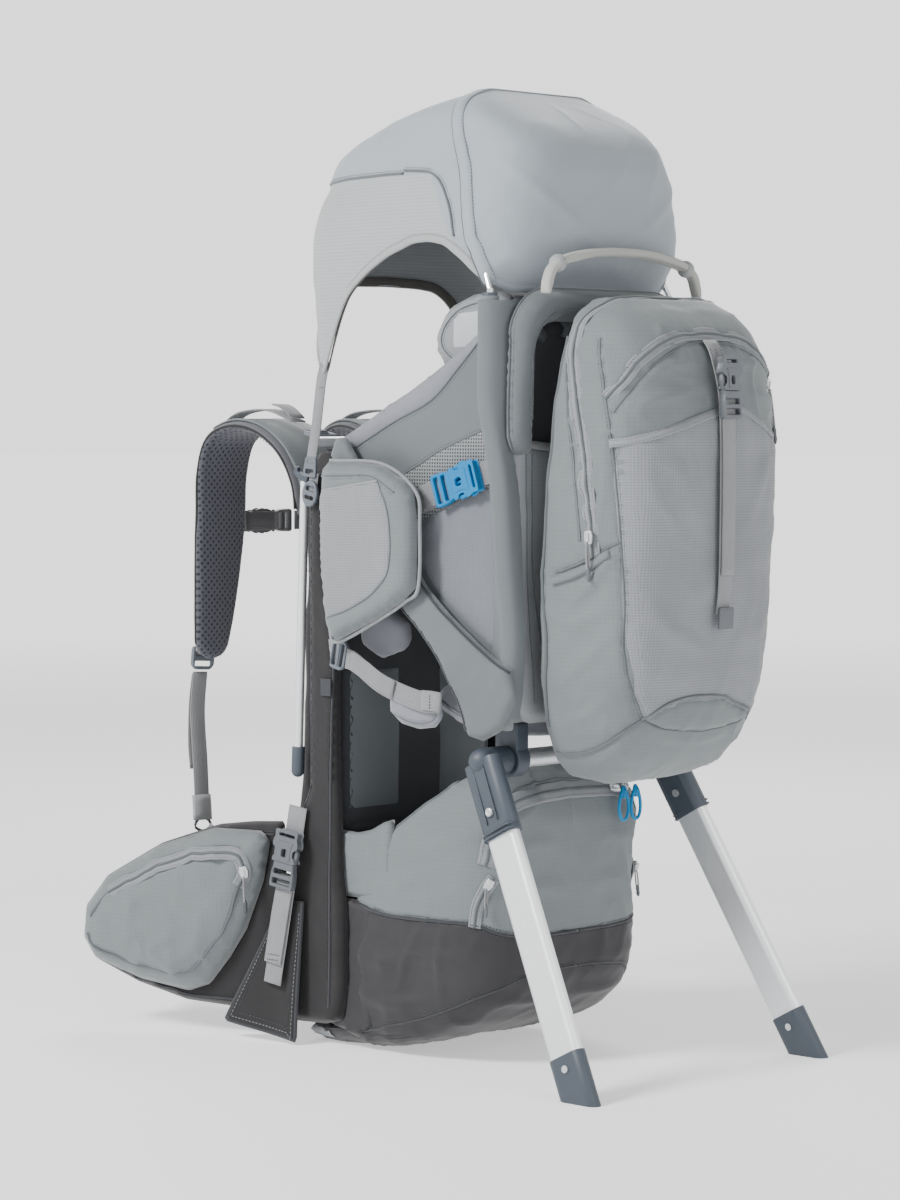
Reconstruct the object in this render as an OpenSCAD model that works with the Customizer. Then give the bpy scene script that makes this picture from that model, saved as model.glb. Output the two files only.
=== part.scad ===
// Framed child carrier: a backpack frame with a child cockpit, a sunshade, a
// removable daypack, a fold-out kickstand, a shoulder harness and a hip belt.
// X is the wearer's right, Y the wearer's forward, Z up, and Z = 0 the ground.
// Paired pieces are drawn on the right side and mirrored to the left.

/* [Frame] */
// Diameter of the two front upright tubes
upright_d = 9; // [7:0.5:10]
// Width of the flat-oval aluminium tube used for the struts and the legs
oval_w = 37; // [30:1:38]
// Thickness of the flat-oval tube
oval_t = 13; // [10:1:14]
// Wall of the flat-oval tube
oval_wall = 1.6; // [1:0.1:2.5]

/* [Kickstand] */
// Height of the kickstand's hinge axis above the ground
hinge_z = 298; // [296:1:300]
// Rearward lean of the legs, in degrees
leg_rake = 27.8; // [26:0.1:29]
// Sideways splay of the legs, in degrees
leg_splay = 7.5; // [6:0.1:9]
// Diameter of the kickstand's crossbar
crossbar_d = 18; // [16:0.5:18]

/* [Child cockpit] */
// Half width of the cockpit over its side panels
cockpit_half = 123; // [121:0.5:123]
// Thickness of a padded side panel
panel_t = 11; // [8:1:12]

/* [Sunshade] */
// Thickness of the sunshade's fabric shell
shade_t = 2; // [1.5:0.1:2.5]
// Radius of the hoop wire
hoop_r = 3; // [2:0.25:3]

/* [Straps] */
// Width of the hip and cockpit webbing
webbing_w = 25; // [20:1:25]
// Width of the harness and daypack webbing
slim_webbing_w = 20; // [15:1:20]
// Thickness of the webbing
webbing_t = 1.8; // [1.2:0.1:2]

/* [Hidden] */

$fn = 32;
fit = 0.05;
hinge_y = -165;

charcoal = "#4e4c51";
ripstop = "#8c9593";
light_mesh = "#a9adb0";
canopy_grey = "#9aa1a8";
slate = "#3f4751";
webbing_grey = "#9a9a9a";
handle_grey = "#c8c9c4";
spacer_mesh = "#75757c";
cyan = "#1fb0e0";
alu = "#d8dadc";

// ---- helpers ----

function unit(v) = v / norm(v);
function flip(a) = [for (i = [len(a) - 1:-1:0]) a[i]];

// Catmull-Rom curve through the points p, with n steps to a span
function spline(a, b, c, d, t) =
    0.5 * (2 * b + (c - a) * t + (2 * a - 5 * b + 4 * c - d) * t * t
           + (3 * b - a - 3 * c + d) * t * t * t);
function smooth(p, n) =
    let (m = len(p) - 1)
    [for (i = [0:m * n])
        let (k = min(floor(i / n), m - 1))
        spline(p[max(k - 1, 0)], p[k], p[k + 1], p[min(k + 2, m)], i / n - k)];

// Closed solid through a list of rings that all have the same number of points
module skin(rings) {
    n = len(rings[0]);
    m = len(rings);
    sides = [for (j = [0:m - 2], i = [0:n - 1])
        let (a = j * n + i, b = j * n + (i + 1) % n)
        each [[a, b, b + n], [a, b + n, a + n]]];
    polyhedron(
        points = [for (r = rings) each r],
        faces = concat([[for (i = [0:n - 1]) i]], [for (f = sides) flip(f)],
                       [flip([for (i = [0:n - 1]) (m - 1) * n + i])]),
        convexity = 8);
}

// Flat band along a path: its width w runs along side and its thickness t across it.
// w is one width, or a list with a width for each point of the path
module band(path, w, t, side = [1, 0, 0]) {
    last = len(path) - 1;
    skin([for (i = [0:last])
        let (along = unit(path[min(i + 1, last)] - path[max(i - 1, 0)]),
             up = unit(cross(along, side)),
             across = unit(cross(up, along)),
             half = (is_list(w) ? w[i] : w) / 2)
        [for (c = [[1, 1], [-1, 1], [-1, -1], [1, -1]])
            path[i] + c[0] * half * across + c[1] * t / 2 * up]]);
}

// Round tube or wire along a path, with the given number of sides
module wire(path, r, sides = 10) {
    last = len(path) - 1;
    skin([for (i = [0:last])
        let (along = unit(path[min(i + 1, last)] - path[max(i - 1, 0)]),
             ref = abs(along[0]) > 0.8 ? [0, 0, 1] : [1, 0, 0],
             up = unit(cross(along, ref)),
             across = unit(cross(up, along)))
        [for (k = [0:sides - 1])
            path[i] + r * (cos(k * 360 / sides) * across + sin(k * 360 / sides) * up)]]);
}

// Superellipse ring at height z: half width w, from y_back to y_front about y_mid
function ring(z, w, y_back, y_mid, y_front, p_back, p_front, n) =
    [for (i = [0:n - 1])
        let (a = i * 360 / n,
             d = sin(a) > 0 ? y_front - y_mid : y_mid - y_back,
             p = sin(a) > 0 ? p_front : p_back,
             r = pow(pow(abs(cos(a)) / w, p) + pow(abs(sin(a)) / d, p), -1 / p))
        [r * cos(a), y_mid + r * sin(a), z]];

// Soft bag from levels of [z, half width, y_back, y_front], with one roundness
module bag(levels, p_back, p_front, n = 32) {
    skin([for (l = levels)
        ring(l[0], l[1], l[2], (l[2] + l[3]) / 2, l[3], p_back, p_front, n)]);
}

// Solid cylinder between two points
module rod(a, b, d) {
    v = b - a;
    translate(a)
        rotate([0, acos(v[2] / norm(v)), atan2(v[1], v[0])])
            cylinder(h = norm(v), d = d);
}

// Outline in the YZ plane, given a thickness in X from x0 outwards
module side_plate(points, x0, t) {
    translate([x0, 0, 0]) rotate([90, 0, 90]) linear_extrude(t) polygon(points);
}

module right_and_left() {
    children();
    mirror([1, 0, 0]) children();
}

module oval(w, t) {
    square([t, w - t], center = true);
    for (s = [-1, 1]) translate([0, s * (w - t) / 2]) circle(d = t);
}

// ---- frame ----

upright_top = [122, 82, 560];
upright_end = [122, 92, 296];

module front_uprights() {
    color(alu) right_and_left() rod(upright_end, upright_top, upright_d);
}

module upright_caps() {
    color(slate) right_and_left() {
        rod([122, 93, 272], upright_end, 13);
        translate([122, 93, 272]) sphere(d = 13);
    }
}

strut_top = [132, 28, 598];
strut_end = [132, -184, 348];

// Flat-oval tube from the cockpit's front corner down to the kickstand's hinge
module struts() {
    v = strut_top - strut_end;
    color(alu) right_and_left()
        translate(strut_end) rotate([-atan2(v[1], v[2]), 0, 0])
            linear_extrude(norm(v)) difference() {
                oval(oval_w - 5, oval_t - 1);
                oval(oval_w - 5 - 2 * oval_wall, oval_t - 1 - 2 * oval_wall);
            }
}

rear_upright_path = [[117, -180, 328], [121, -196, 420], [125, -186, 560],
                     [130, -175, 640], [130, -175, 738]];
pin_depth = 56;

module rear_uprights() {
    p = rear_upright_path;
    color(slate) right_and_left() difference() {
        union() {
            for (i = [0:3]) rod(p[i], p[i + 1], 13);
            for (i = [1:3]) translate(p[i]) sphere(d = 14);
        }
        translate(p[4] - [0, 0, pin_depth + 2])
            cylinder(h = pin_depth + 3, r = hoop_r + fit);
    }
}

module top_crossbar() {
    color(alu) rod([-124.5, 66, 598], [124.5, 66, 598], 12);
}

// Bearing blocks for the kickstand's crossbar, carried by the cockpit's shell
module pivot_brackets() {
    color(slate) right_and_left() difference() {
        union() {
            translate([80, hinge_y, hinge_z]) rotate([0, 90, 0])
                cylinder(h = 17, d = 34);
            translate([80, hinge_y - 14, hinge_z]) cube([17, 28, 35]);
        }
        translate([79, hinge_y, hinge_z]) rotate([0, 90, 0])
            cylinder(h = 19, d = crossbar_d + 2 * fit);
    }
}

// ---- back panel, base and cargo bag ----

module back_panel() {
    color(charcoal) bag([
        [22, 100, 60, 100], [30, 106, 58, 108], [100, 110, 58, 124], [180, 110, 58, 126],
        [260, 107, 58, 112], [420, 105, 58, 108], [560, 101, 58, 109], [580, 97, 59, 106],
        [590, 90, 62, 98]], 6, 6);
}

module side_strips() {
    color(charcoal) right_and_left()
        side_plate([[58, 20], [108, 20], [104, 150], [92, 230], [76, 262], [76, 556],
                    [70, 570], [56, 572], [54, 556], [50, 470], [38, 425], [40, 160],
                    [42, 31]], 112, 14);
    // Flap that hangs over the root of each hip wing
    color(charcoal) right_and_left() hull() {
        translate([128.5, 78, 140]) cube([3, 26, 4]);
        translate([137, 80, 3]) cube([3, 12, 4]);
        translate([149, 164, 16]) cube([3, 4, 4]);
    }
}

// Where the boot's cloth meets the cargo bag, as [y, z]
seam = [[38, 148], [-28, 138], [-135, 140], [-172, 126]];

module rounded_plan(half, y_back, y_front, r) {
    hull() for (x = [-1, 1], y = [y_back + r, y_front - r])
        translate([x * (half - r), y, -5]) cylinder(h = 400, r = r);
}

module base_boot() {
    color(charcoal) intersection() {
        side_plate(concat(seam, [[-170, 82], [-158, 60], [-130, 38], [-90, 20], [-40, 8],
                                 [0, 2], [30, 0], [92, 0], [104, 8], [104, 18], [56, 19],
                                 [40, 30]]), -130, 260);
        rounded_plan(118, -172, 106, 34);
    }
}

module cargo_bag() {
    color(ripstop) intersection() {
        side_plate(concat(seam, [[-172, 236], [-166, 258], [-150, 283], [-132, 292],
                                 [-108, 281], [-55, 250], [14, 204], [26, 188],
                                 [34, 168]]), -130, 260);
        rounded_plan(116, -172, 60, 34);
    }
}

// ---- cockpit ----

module back_shell() {
    color(charcoal) translate([0, -176, 0]) rotate([90, 0, 0]) linear_extrude(11)
        hull() {
            for (x = [-1, 1]) translate([x * 72, 700]) circle(r = 36);
            for (x = [-1, 1]) translate([x * 95, 350]) circle(r = 14);
        }
}

// Padded arch round the top of the shell, as deep as the daypack leaves room for
module headrest_rim() {
    color(ripstop) intersection() {
        translate([0, -190, 0]) rotate([90, 0, 0]) linear_extrude(40) difference() {
            hull() {
                for (x = [-1, 1]) translate([x * 78, 694]) circle(r = 50);
                for (x = [-1, 1]) translate([x * 123, 606]) circle(r = 6);
            }
            hull() {
                for (x = [-1, 1]) translate([x * 66, 680]) circle(r = 34);
                for (x = [-1, 1]) translate([x * 92, 590]) circle(r = 6);
            }
        }
        side_plate([[-190, 600], [-212, 600], [-228, 700], [-229, 750], [-190, 750]],
                   -140, 280);
    }
}

// U-shaped pillow on the shell with a wing on each side of the child's head
module head_support() {
    color(canopy_grey) {
        translate([-96, -172, 655]) cube([192, 18, 88]);
        right_and_left() hull() {
            translate([78, -153, 656]) cube([18, 4, 86]);
            translate([82, -80, 672]) cube([14, 14, 56]);
        }
    }
}

module cockpit_side() {
    color(ripstop)
        side_plate([[48, 562], [52, 576], [34, 603], [-22, 632], [-90, 667], [-162, 712],
                    [-166, 640], [-175, 564], [-184, 470], [-181, 400], [-166, 346],
                    [-58, 468], [-18, 466], [34, 430]],
                   cockpit_half - panel_t, panel_t);
}

module cockpit_side_left() { mirror([1, 0, 0]) cockpit_side(); }
module cockpit_side_right() { cockpit_side(); }

// Front wall of the cockpit with a soft pad along its top
module front_pad() {
    color(slate) {
        translate([-108, 42, 210]) cube([216, 12, 350]);
        hull() {
            translate([-88, 30, 590]) sphere(r = 16, $fn = 20);
            translate([88, 30, 590]) sphere(r = 16, $fn = 20);
            translate([-46, 36, 624]) sphere(r = 16, $fn = 20);
            translate([46, 36, 624]) sphere(r = 16, $fn = 20);
            translate([-96, 44, 562]) cube([192, 10, 4]);
        }
    }
}

pocket_outline = [[40, 552], [32, 578], [-46, 576], [-77, 544], [-80, 452], [-40, 424],
                  [22, 408], [42, 480]];

module side_pockets() {
    color(light_mesh) right_and_left() hull() {
        side_plate(pocket_outline, 142, 1);
        side_plate([for (p = pocket_outline) [-17, 495] + 0.8 * (p - [-17, 495])], 158, 1);
    }
}

// ---- webbing and buckles sewn to the frame ----

cockpit_strap_front = [0, -34, 528];
cockpit_strap_rear = [0, -172, 573];
cockpit_strap_x = cockpit_half + 0.5 + webbing_t / 2;
flap_strap_top = [129, 86, 232];
flap_strap_end = [145, 106, 60];
lower_tab_end = [109, 240, 198];

// Places a buckle drawn along +X, thickness along +Z, on a strap from a towards b.
// The buckle's thickness points to out
module on_strap(a, b, out) {
    x = unit(b - a);
    z = unit(out - (out * x) * x);
    y = cross(z, x);
    multmatrix([[x[0], y[0], z[0], a[0]], [x[1], y[1], z[1], a[1]],
                [x[2], y[2], z[2], a[2]], [0, 0, 0, 1]]) children();
}

module frame_webbing() {
    offset_x = [cockpit_strap_x, 0, 0];
    color(webbing_grey) right_and_left() {
        band([cockpit_strap_front + offset_x, cockpit_strap_rear + offset_x],
             webbing_w, webbing_t, [0, 0, 1]);
        band([flap_strap_top, flap_strap_end], webbing_w, webbing_t, [0, 1, 0]);
        // Tab that the harness's lower strap hooks on
        band([[106, 128, 148], [107, 165, 168], lower_tab_end], slim_webbing_w,
             webbing_t, [0, 0, 1]);
    }
}

buckle_l = 30;
buckle_h = 9;

// Hollow half of a side-release buckle, open towards -X, from x = 0 to buckle_l
module socket(w) {
    difference() {
        hull() {
            translate([0, -w / 2, 0]) cube([buckle_l - 8, w, buckle_h]);
            translate([0, 6 - w / 2, 1]) cube([buckle_l, w - 12, buckle_h - 2]);
        }
        translate([-1, 3 - w / 2, 2]) cube([20, w - 6, buckle_h - 4]);
        translate([6, -w / 2 - 1, 2.5]) cube([9, w + 2, buckle_h - 5]);
        translate([buckle_l - 7, 9 - w / 2, -1]) cube([3, w - 18, buckle_h + 2]);
    }
}

// Pronged half: an adjuster frame behind x = 0 and three prongs in front of it
module plug(w) {
    difference() {
        translate([-27.5, -w / 2 + 1, 0.5]) cube([27, w - 2, buckle_h - 1]);
        for (x = [-23.5, -14]) translate([x, 4 - w / 2, -1])
            cube([6, w - 8, buckle_h + 2]);
    }
    for (s = [-1, 1]) translate([-1, s * (w / 2 - 5.5) - 2, 2.5])
        cube([17, 4, buckle_h - 5]);
    translate([-1, -1.5, 3]) cube([14, 3, buckle_h - 6]);
}

cockpit_buckle_w = 34;
flap_buckle_w = 34;
slim_buckle_w = 28;

// Runs children in the frame of each buckle's mouth, on the right side
module at_cockpit_buckle() {
    lift = [cockpit_strap_x + webbing_t / 2 + 0.6, 0, 0];
    mouth = cockpit_strap_front + 0.70 * (cockpit_strap_rear - cockpit_strap_front);
    on_strap(mouth + lift, cockpit_strap_rear + lift, [1, 0, 0]) children();
}

module at_flap_buckle() {
    lift = [webbing_t / 2 + 0.8, 0, 0];
    mouth = flap_strap_top + 0.29 * (flap_strap_end - flap_strap_top);
    on_strap(mouth + lift, flap_strap_top + lift, [1, 0, 0]) children();
}

module cockpit_sockets() {
    color(cyan) right_and_left() at_cockpit_buckle() socket(cockpit_buckle_w);
}
module cockpit_plug_right() { color(cyan) at_cockpit_buckle() plug(cockpit_buckle_w); }
module cockpit_plug_left() { mirror([1, 0, 0]) cockpit_plug_right(); }

module flap_sockets() {
    color(light_mesh) right_and_left() at_flap_buckle() socket(flap_buckle_w);
}
module flap_plug_right() { color(light_mesh) at_flap_buckle() plug(flap_buckle_w); }
module flap_plug_left() { mirror([1, 0, 0]) flap_plug_right(); }

// Frame-shaped adjuster: w across the webbing, l along it
module ladder_lock(w, l, t) {
    difference() {
        translate([-l / 2, -w / 2, 0]) cube([l, w, t]);
        for (x = [-0.27, 0.27]) translate([x * l, 0, t / 2])
            cube([l * 0.28, w - 7, t + 2], center = true);
    }
}

// Adjusters for the load lifters, buttons for the sunshade's straps, and the
// adjusters that hold the front ends of the stirrups
module frame_ladder_locks() {
    color(slate) right_and_left() {
        on_strap([99, 86, 604], [98, 114, 610], [0, 0, 1]) ladder_lock(28, 24, 5);
        on_strap([128, 66, 548], [128, 70, 530], [1, 0, 0]) ladder_lock(26, 26, 4);
        on_strap([127, 26, 391], [127, 0, 385], [1, 0, 0]) ladder_lock(30, 20, 5);
    }
}

// ---- kickstand ----

// Runs children in a leg's own frame: origin on the hinge axis, -Z down the leg
module leg_frame() {
    translate([129, hinge_y, hinge_z]) rotate([-leg_rake, -leg_splay, 0]) children();
}

leg_l = hinge_z / (cos(leg_rake) * cos(leg_splay));
sleeve_l = 76;
foot_l = 46;

module kickstand_crossbar() {
    color(alu) rotate([0, 90, 0]) translate([-hinge_z, hinge_y, -112])
        difference() {
            cylinder(h = 224, d = crossbar_d);
            translate([0, 0, -1]) cylinder(h = 226, d = crossbar_d - 3);
        }
}

// Moulded elbow: grips the crossbar's end and holds the leg in an oval sleeve
module elbow() {
    color(slate) difference() {
        union() {
            translate([99, hinge_y, hinge_z]) rotate([0, 90, 0])
                cylinder(h = 30, d = 27);
            translate([129, hinge_y, hinge_z]) sphere(d = 27);
            leg_frame() translate([0, 0, -sleeve_l]) linear_extrude(sleeve_l)
                oval(oval_w + 5, oval_t + 5);
        }
        translate([98, hinge_y, hinge_z]) rotate([0, 90, 0])
            cylinder(h = 14, d = crossbar_d);
        leg_frame() translate([0, 0, -sleeve_l - 1]) linear_extrude(sleeve_l - 19)
            oval(oval_w, oval_t);
    }
}

module leg() {
    color(alu) leg_frame() translate([0, 0, -leg_l + 26]) linear_extrude(leg_l - 46)
        difference() {
            oval(oval_w, oval_t);
            oval(oval_w - 2 * oval_wall, oval_t - 2 * oval_wall);
        }
}

// Moulded foot, cut level with the ground and hollow for the leg's end
module foot() {
    color(slate) difference() {
        intersection() {
            leg_frame() translate([0, 0, -leg_l - 20]) linear_extrude(foot_l + 20)
                oval(oval_w + 3, oval_t + 3);
            translate([0, -500, 0]) cube([400, 400, 200]);
        }
        leg_frame() translate([0, 0, -leg_l + 26]) linear_extrude(foot_l)
            oval(oval_w, oval_t);
    }
}

module elbow_left() { mirror([1, 0, 0]) elbow(); }
module elbow_right() { elbow(); }
module leg_left() { mirror([1, 0, 0]) leg(); }
module leg_right() { leg(); }
module foot_left() { mirror([1, 0, 0]) foot(); }
module foot_right() { foot(); }

// Dome-headed rivets on the elbows and on the feet
module kickstand_rivets() {
    color(alu) right_and_left() for (side = [-1, 1]) leg_frame() {
        translate([side * (oval_t + 5) / 2, 0, -52]) rotate([0, side * 90, 0])
            cylinder(h = 1.4, d = 8);
        translate([side * (oval_t + 3) / 2, 0, 33 - leg_l]) rotate([0, side * 90, 0])
            cylinder(h = 1.4, d = 7);
    }
}

// ---- sunshade ----

shade_top = 936;
// Half width, rear and front of the canopy by height
shade_w = [[655, 130], [745, 138], [800, 137], [849, 125], [862, 122], [880, 118],
           [895, 115], [905, 113], [915, 111], [925, 108], [933, 104], [936, 100]];
shade_rear = [[655, -180], [746, -184], [754, -190], [770, -206], [800, -212],
              [855, -212], [880, -204], [895, -190], [905, -175], [915, -156],
              [925, -136], [933, -122], [936, -117]];
shade_front = [[655, 85], [745, 85], [800, 105], [849, 128], [862, 130], [880, 122],
               [895, 95], [905, 60], [915, 12], [925, -50], [933, -92], [936, -101]];
shade_mid = [[880, -90], [915, -100], [936, -109]];
shade_round = [[745, 6], [800, 4], [849, 2.2], [905, 2], [936, 3.5]];
// Height of the canopy's lower edge by angle from the rear centre
shade_edge = [[0, 742], [51, 742], [60, 768], [76, 788], [93, 790], [117, 763],
              [128, 727], [140, 657], [156, 752], [180, 756]];

function shade_point(a, z, inset) =
    let (h = min(z + inset, shade_top),
         mid = lookup(h, shade_mid),
         front = sin(a) > 0,
         w = lookup(h, shade_w) - inset,
         d = (front ? lookup(h, shade_front) - mid : mid - lookup(h, shade_rear)) - inset,
         p = front ? lookup(h, shade_round) : 5,
         r = pow(pow(abs(cos(a)) / w, p) + pow(abs(sin(a)) / d, p), -1 / p))
    [r * cos(a), mid + r * sin(a), z];

function shade_low(a) = lookup(a < 90 || a > 270 ? (a + 90) % 360 : 270 - a, shade_edge);

// One fabric shell: up the outside, over the top, and down the inside
module sunshade_canopy() {
    n = 72;
    rows = 15;
    function sheet_point(i, j, inset) =
        let (a = i * 360 / n,
             low = shade_low(a),
             top = shade_top - inset,
             f = j / rows)
        shade_point(a, low + (top - low) * (1 - pow(1 - f, 1.5)), inset);
    outer = [for (j = [0:rows], i = [0:n - 1]) sheet_point(i, j, 0)];
    inner = [for (j = [0:rows], i = [0:n - 1]) sheet_point(i, j, shade_t)];
    count = len(outer);
    walls = [for (j = [0:rows - 1], i = [0:n - 1])
        let (a = j * n + i, b = j * n + (i + 1) % n)
        each [[a, b, b + n], [a, b + n, a + n]]];
    edge = [for (i = [0:n - 1])
        let (b = (i + 1) % n)
        each [[i, b, b + count], [i, b + count, i + count]]];
    color(canopy_grey) polyhedron(
        points = concat(outer, inner),
        faces = concat([for (f = walls) flip(f)], [for (f = walls) f + [1, 1, 1] * count],
                       edge, [flip([for (i = [0:n - 1]) rows * n + i])],
                       [[for (i = [0:n - 1]) count + rows * n + i]]),
        convexity = 10);
}

// The hoop's right half, from the foot of its pin to the middle of the top
hoop_half = [[130, -175, 738 - pin_depth], [130, -175, 742], [126, -163, 768],
             [120.5, -152, 800], [112, -136, 856], [102.5, -118, 897], [97, -112, 914],
             [87, -110, 925], [74, -109, 929], [40, -109, 929.5], [0, -109, 929.5]];

module sunshade_hoop() {
    upper = smooth([for (i = [1:len(hoop_half) - 1]) hoop_half[i]], 3);
    mirrored = [for (p = flip(upper)) [-p[0], p[1], p[2]]];
    path = concat(upper, [for (i = [1:len(mirrored) - 1]) mirrored[i]]);
    color(alu) {
        wire(path, hoop_r - 0.2, 10);
        right_and_left() translate(hoop_half[0])
            cylinder(h = pin_depth + 5, r = hoop_r);
    }
}

module sunshade_brim() {
    color(alu) wire([for (a = [-4:8:188]) shade_point(a, 853, 6)], 2, 8);
}

module sunshade_straps() {
    color(webbing_grey) right_and_left() {
        band([[124, 58, 654], [126, 62, 610], [127.4, 68, 576]], slim_webbing_w - 4,
             webbing_t, [0, 1, 0]);
        on_strap([126.2, 68, 572], [126.6, 69, 562], [1, 0, 0]) ladder_lock(18, 10, 3);
    }
}

// ---- daypack ----

module daypack_bag() {
    color(ripstop) bag([
        [277, 42, -262, -216], [284, 66, -286, -208], [302, 86, -310, -203],
        [335, 100, -328, -201], [380, 109, -340, -201], [460, 113, -348, -201],
        [560, 114, -351, -213], [630, 112, -350, -222], [680, 107, -341, -229],
        [708, 98, -326, -233], [726, 84, -308, -236], [734, 62, -288, -240]], 3.2, 7, 40);
}

daypack_strap_x = -4;
daypack_strap_path = [for (p = [[-338, 690], [-354.2, 640], [-357, 560],
                                [-356, 480], [-353, 428]]) [daypack_strap_x, p[0], p[1]]];

module daypack_webbing() {
    color(webbing_grey)
        band(smooth(daypack_strap_path, 3), slim_webbing_w, webbing_t);
}

module at_daypack_buckle() {
    on_strap([daypack_strap_x, -355.6, 648], [daypack_strap_x, -353.4, 684], [0, -1, 0])
        children();
}

module daypack_socket() { color(light_mesh) at_daypack_buckle() socket(slim_buckle_w); }
module daypack_plug() { color(light_mesh) at_daypack_buckle() plug(slim_buckle_w); }

// ---- harness ----

// Middle line of a shoulder strap from the yoke over the shoulder to its lower end
strap_half = [[66, 121, 516], [66, 125, 556], [69, 143, 590], [73, 172, 610],
              [77, 206, 614], [81, 234, 600], [84, 244, 566], [87, 243, 524],
              [92, 242, 474], [98, 241, 424], [102, 243, 376]];
strap_widths = [64, 66, 68, 70, 70, 69, 68, 66, 60, 52, 42];

module shoulder_yoke() {
    color(charcoal) translate([0, 118, 0]) rotate([90, 0, 0])
        translate([0, 0, -5]) linear_extrude(6) hull() {
            for (x = [-1, 1]) translate([x * 16, 568]) circle(r = 8);
            for (x = [-1, 1]) translate([x * 22, 484]) circle(r = 10);
        }
}

module shoulder_strap() {
    widths = [for (w = smooth([for (v = strap_widths) [v, 0, 0]], 3)) w[0]];
    color(spacer_mesh) band(smooth(strap_half, 3), widths, 13);
}

module shoulder_strap_left() { mirror([1, 0, 0]) shoulder_strap(); }
module shoulder_strap_right() { shoulder_strap(); }

// Load lifters over the shoulders, and the lower straps down to the hip belt
module harness_webbing() {
    color(webbing_grey) right_and_left() {
        band(smooth([[82, 246, 606], [82, 222, 624], [84, 196, 630], [88, 160, 630],
                     [94, 118, 618]], 3), slim_webbing_w, webbing_t);
        band(smooth([[104, 256, 362], [106, 258, 320], [108, 252, 270],
                     [110.5, 246, 214]], 3), slim_webbing_w, webbing_t);
    }
}

module strap_ladder_locks() {
    color(slate) right_and_left()
        on_strap([102.5, 251.5, 376], [104, 252.5, 350], [0, 1, 0]) ladder_lock(30, 24, 4.5);
}

sternum_y = 244;
sternum_z = 516;

module sternum_strap() {
    color(charcoal) {
        band([[-48, sternum_y, sternum_z], [-8, sternum_y, sternum_z]], slim_webbing_w,
             webbing_t, [0, 0, 1]);
        band([[22, sternum_y, sternum_z], [48, sternum_y, sternum_z]], slim_webbing_w,
             webbing_t, [0, 0, 1]);
        at_sternum_buckle() socket(slim_buckle_w - 2);
    }
}

module at_sternum_buckle() {
    on_strap([-8, sternum_y + 1.6, sternum_z], [-40, sternum_y + 1.6, sternum_z], [0, 1, 0])
        children();
}

module sternum_plug() { color(charcoal) at_sternum_buckle() plug(slim_buckle_w - 2); }

// ---- child seat ----

module child_seat() {
    color(slate) hull() {
        for (x = [-1, 1]) translate([x * 44, -138, 334]) sphere(r = 16, $fn = 20);
        for (x = [-1, 1]) translate([x * 40, -70, 332]) sphere(r = 16, $fn = 20);
        for (x = [-1, 1]) translate([x * 14, -8, 346]) sphere(r = 16, $fn = 20);
    }
}

// ---- hip belt ----

wing_root = [120, 110, 0];
wing_angle = 14.4;

// Runs children with +Y along the right wing and +X out of it
module wing_frame() {
    translate(wing_root) rotate([0, 0, -wing_angle]) children();
}

// Outlines in the wing's own frame: along it, and up from the ground
wing_outline = [[0, 66], [0, 222], [80, 213], [150, 190], [214, 154], [240, 120],
                [243, 84], [232, 64], [180, 44], [120, 30], [50, 27]];
pouch_outline = [[22, 206], [80, 206], [148, 184], [208, 150], [233, 118], [238, 86],
                 [222, 70], [168, 54], [112, 48], [86, 56], [50, 110]];

module hip_wing() {
    color(charcoal) wing_frame() side_plate(wing_outline, -8, 16);
}

// The pouch bulges outwards from the wing
module hip_pouch() {
    mid = [130, 122];
    color(ripstop) wing_frame() hull() {
        side_plate(pouch_outline, 8.5, 8);
        side_plate([for (p = pouch_outline) mid + 0.86 * (p - mid)], 26, 1);
        side_plate([for (p = pouch_outline) mid + 0.55 * (p - mid)], 38, 1);
    }
}

module hip_wing_left() { mirror([1, 0, 0]) hip_wing(); }
module hip_wing_right() { hip_wing(); }
module hip_pouch_left() { mirror([1, 0, 0]) hip_pouch(); }
module hip_pouch_right() { hip_pouch(); }

// Foremost line of the belt's webbing, level with the pack's rear extent so the
// overall footprint is centred
belt_front = 363.2;
belt_path = [[160, 310, 104], [146, 340, 102], [116, belt_front - 2, 98],
             [78, belt_front, 94]];
belt_buckle_w = 40;

// Waist webbing from the inside of a wing, with its buckle half at the end
module belt_strap() {
    band(smooth(belt_path, 4), 34, webbing_t, [0, 0, 1]);
}

module at_belt_buckle() {
    on_strap([78, belt_front + 2.5, 94], [42, belt_front + 2.5, 94], [0, -1, 0])
        children();
}

module belt_socket_strap() {
    color(webbing_grey) mirror([1, 0, 0]) {
        belt_strap();
        at_belt_buckle() translate([buckle_l - 2, 0, 0]) mirror([1, 0, 0])
            socket(belt_buckle_w);
    }
}

module belt_plug_strap() {
    color(webbing_grey) {
        belt_strap();
        at_belt_buckle() translate([26, 0, 0]) plug(belt_buckle_w);
    }
}

// ---- handle, zip pulls and stirrups ----

handle_half = [[110, -227, 740], [104, -227, 757], [84, -227, 770], [44, -227, 778],
               [0, -227, 779]];

module grab_handle() {
    mirrored = [for (i = [3:-1:0]) [-handle_half[i][0], handle_half[i][1], handle_half[i][2]]];
    color(handle_grey)
        band(smooth(concat(handle_half, mirrored), 4), 13, 6, [0, 1, 0]);
}

pull_axis_z = 262;
pull_y = -178;

// Loop of cord that hangs from a zip slider
module zip_pull(x) {
    color(cyan) translate([x, pull_y, 0]) {
        for (s = [-1, 1]) translate([s * 6, 0, 234]) cylinder(h = 14, d = 3);
        for (end = [0, 1]) translate([0, 0, 234 + 14 * end]) rotate([90, 0, 0])
            rotate([0, 0, end * 180 + 180]) rotate_extrude(angle = 180)
                translate([6, 0]) circle(d = 3);
        translate([0, 0, 254]) cylinder(h = 8, d = 2.4);
    }
}

module cargo_zip_pull_left() { zip_pull(60); }
module cargo_zip_pull_right() { zip_pull(78); }

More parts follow.
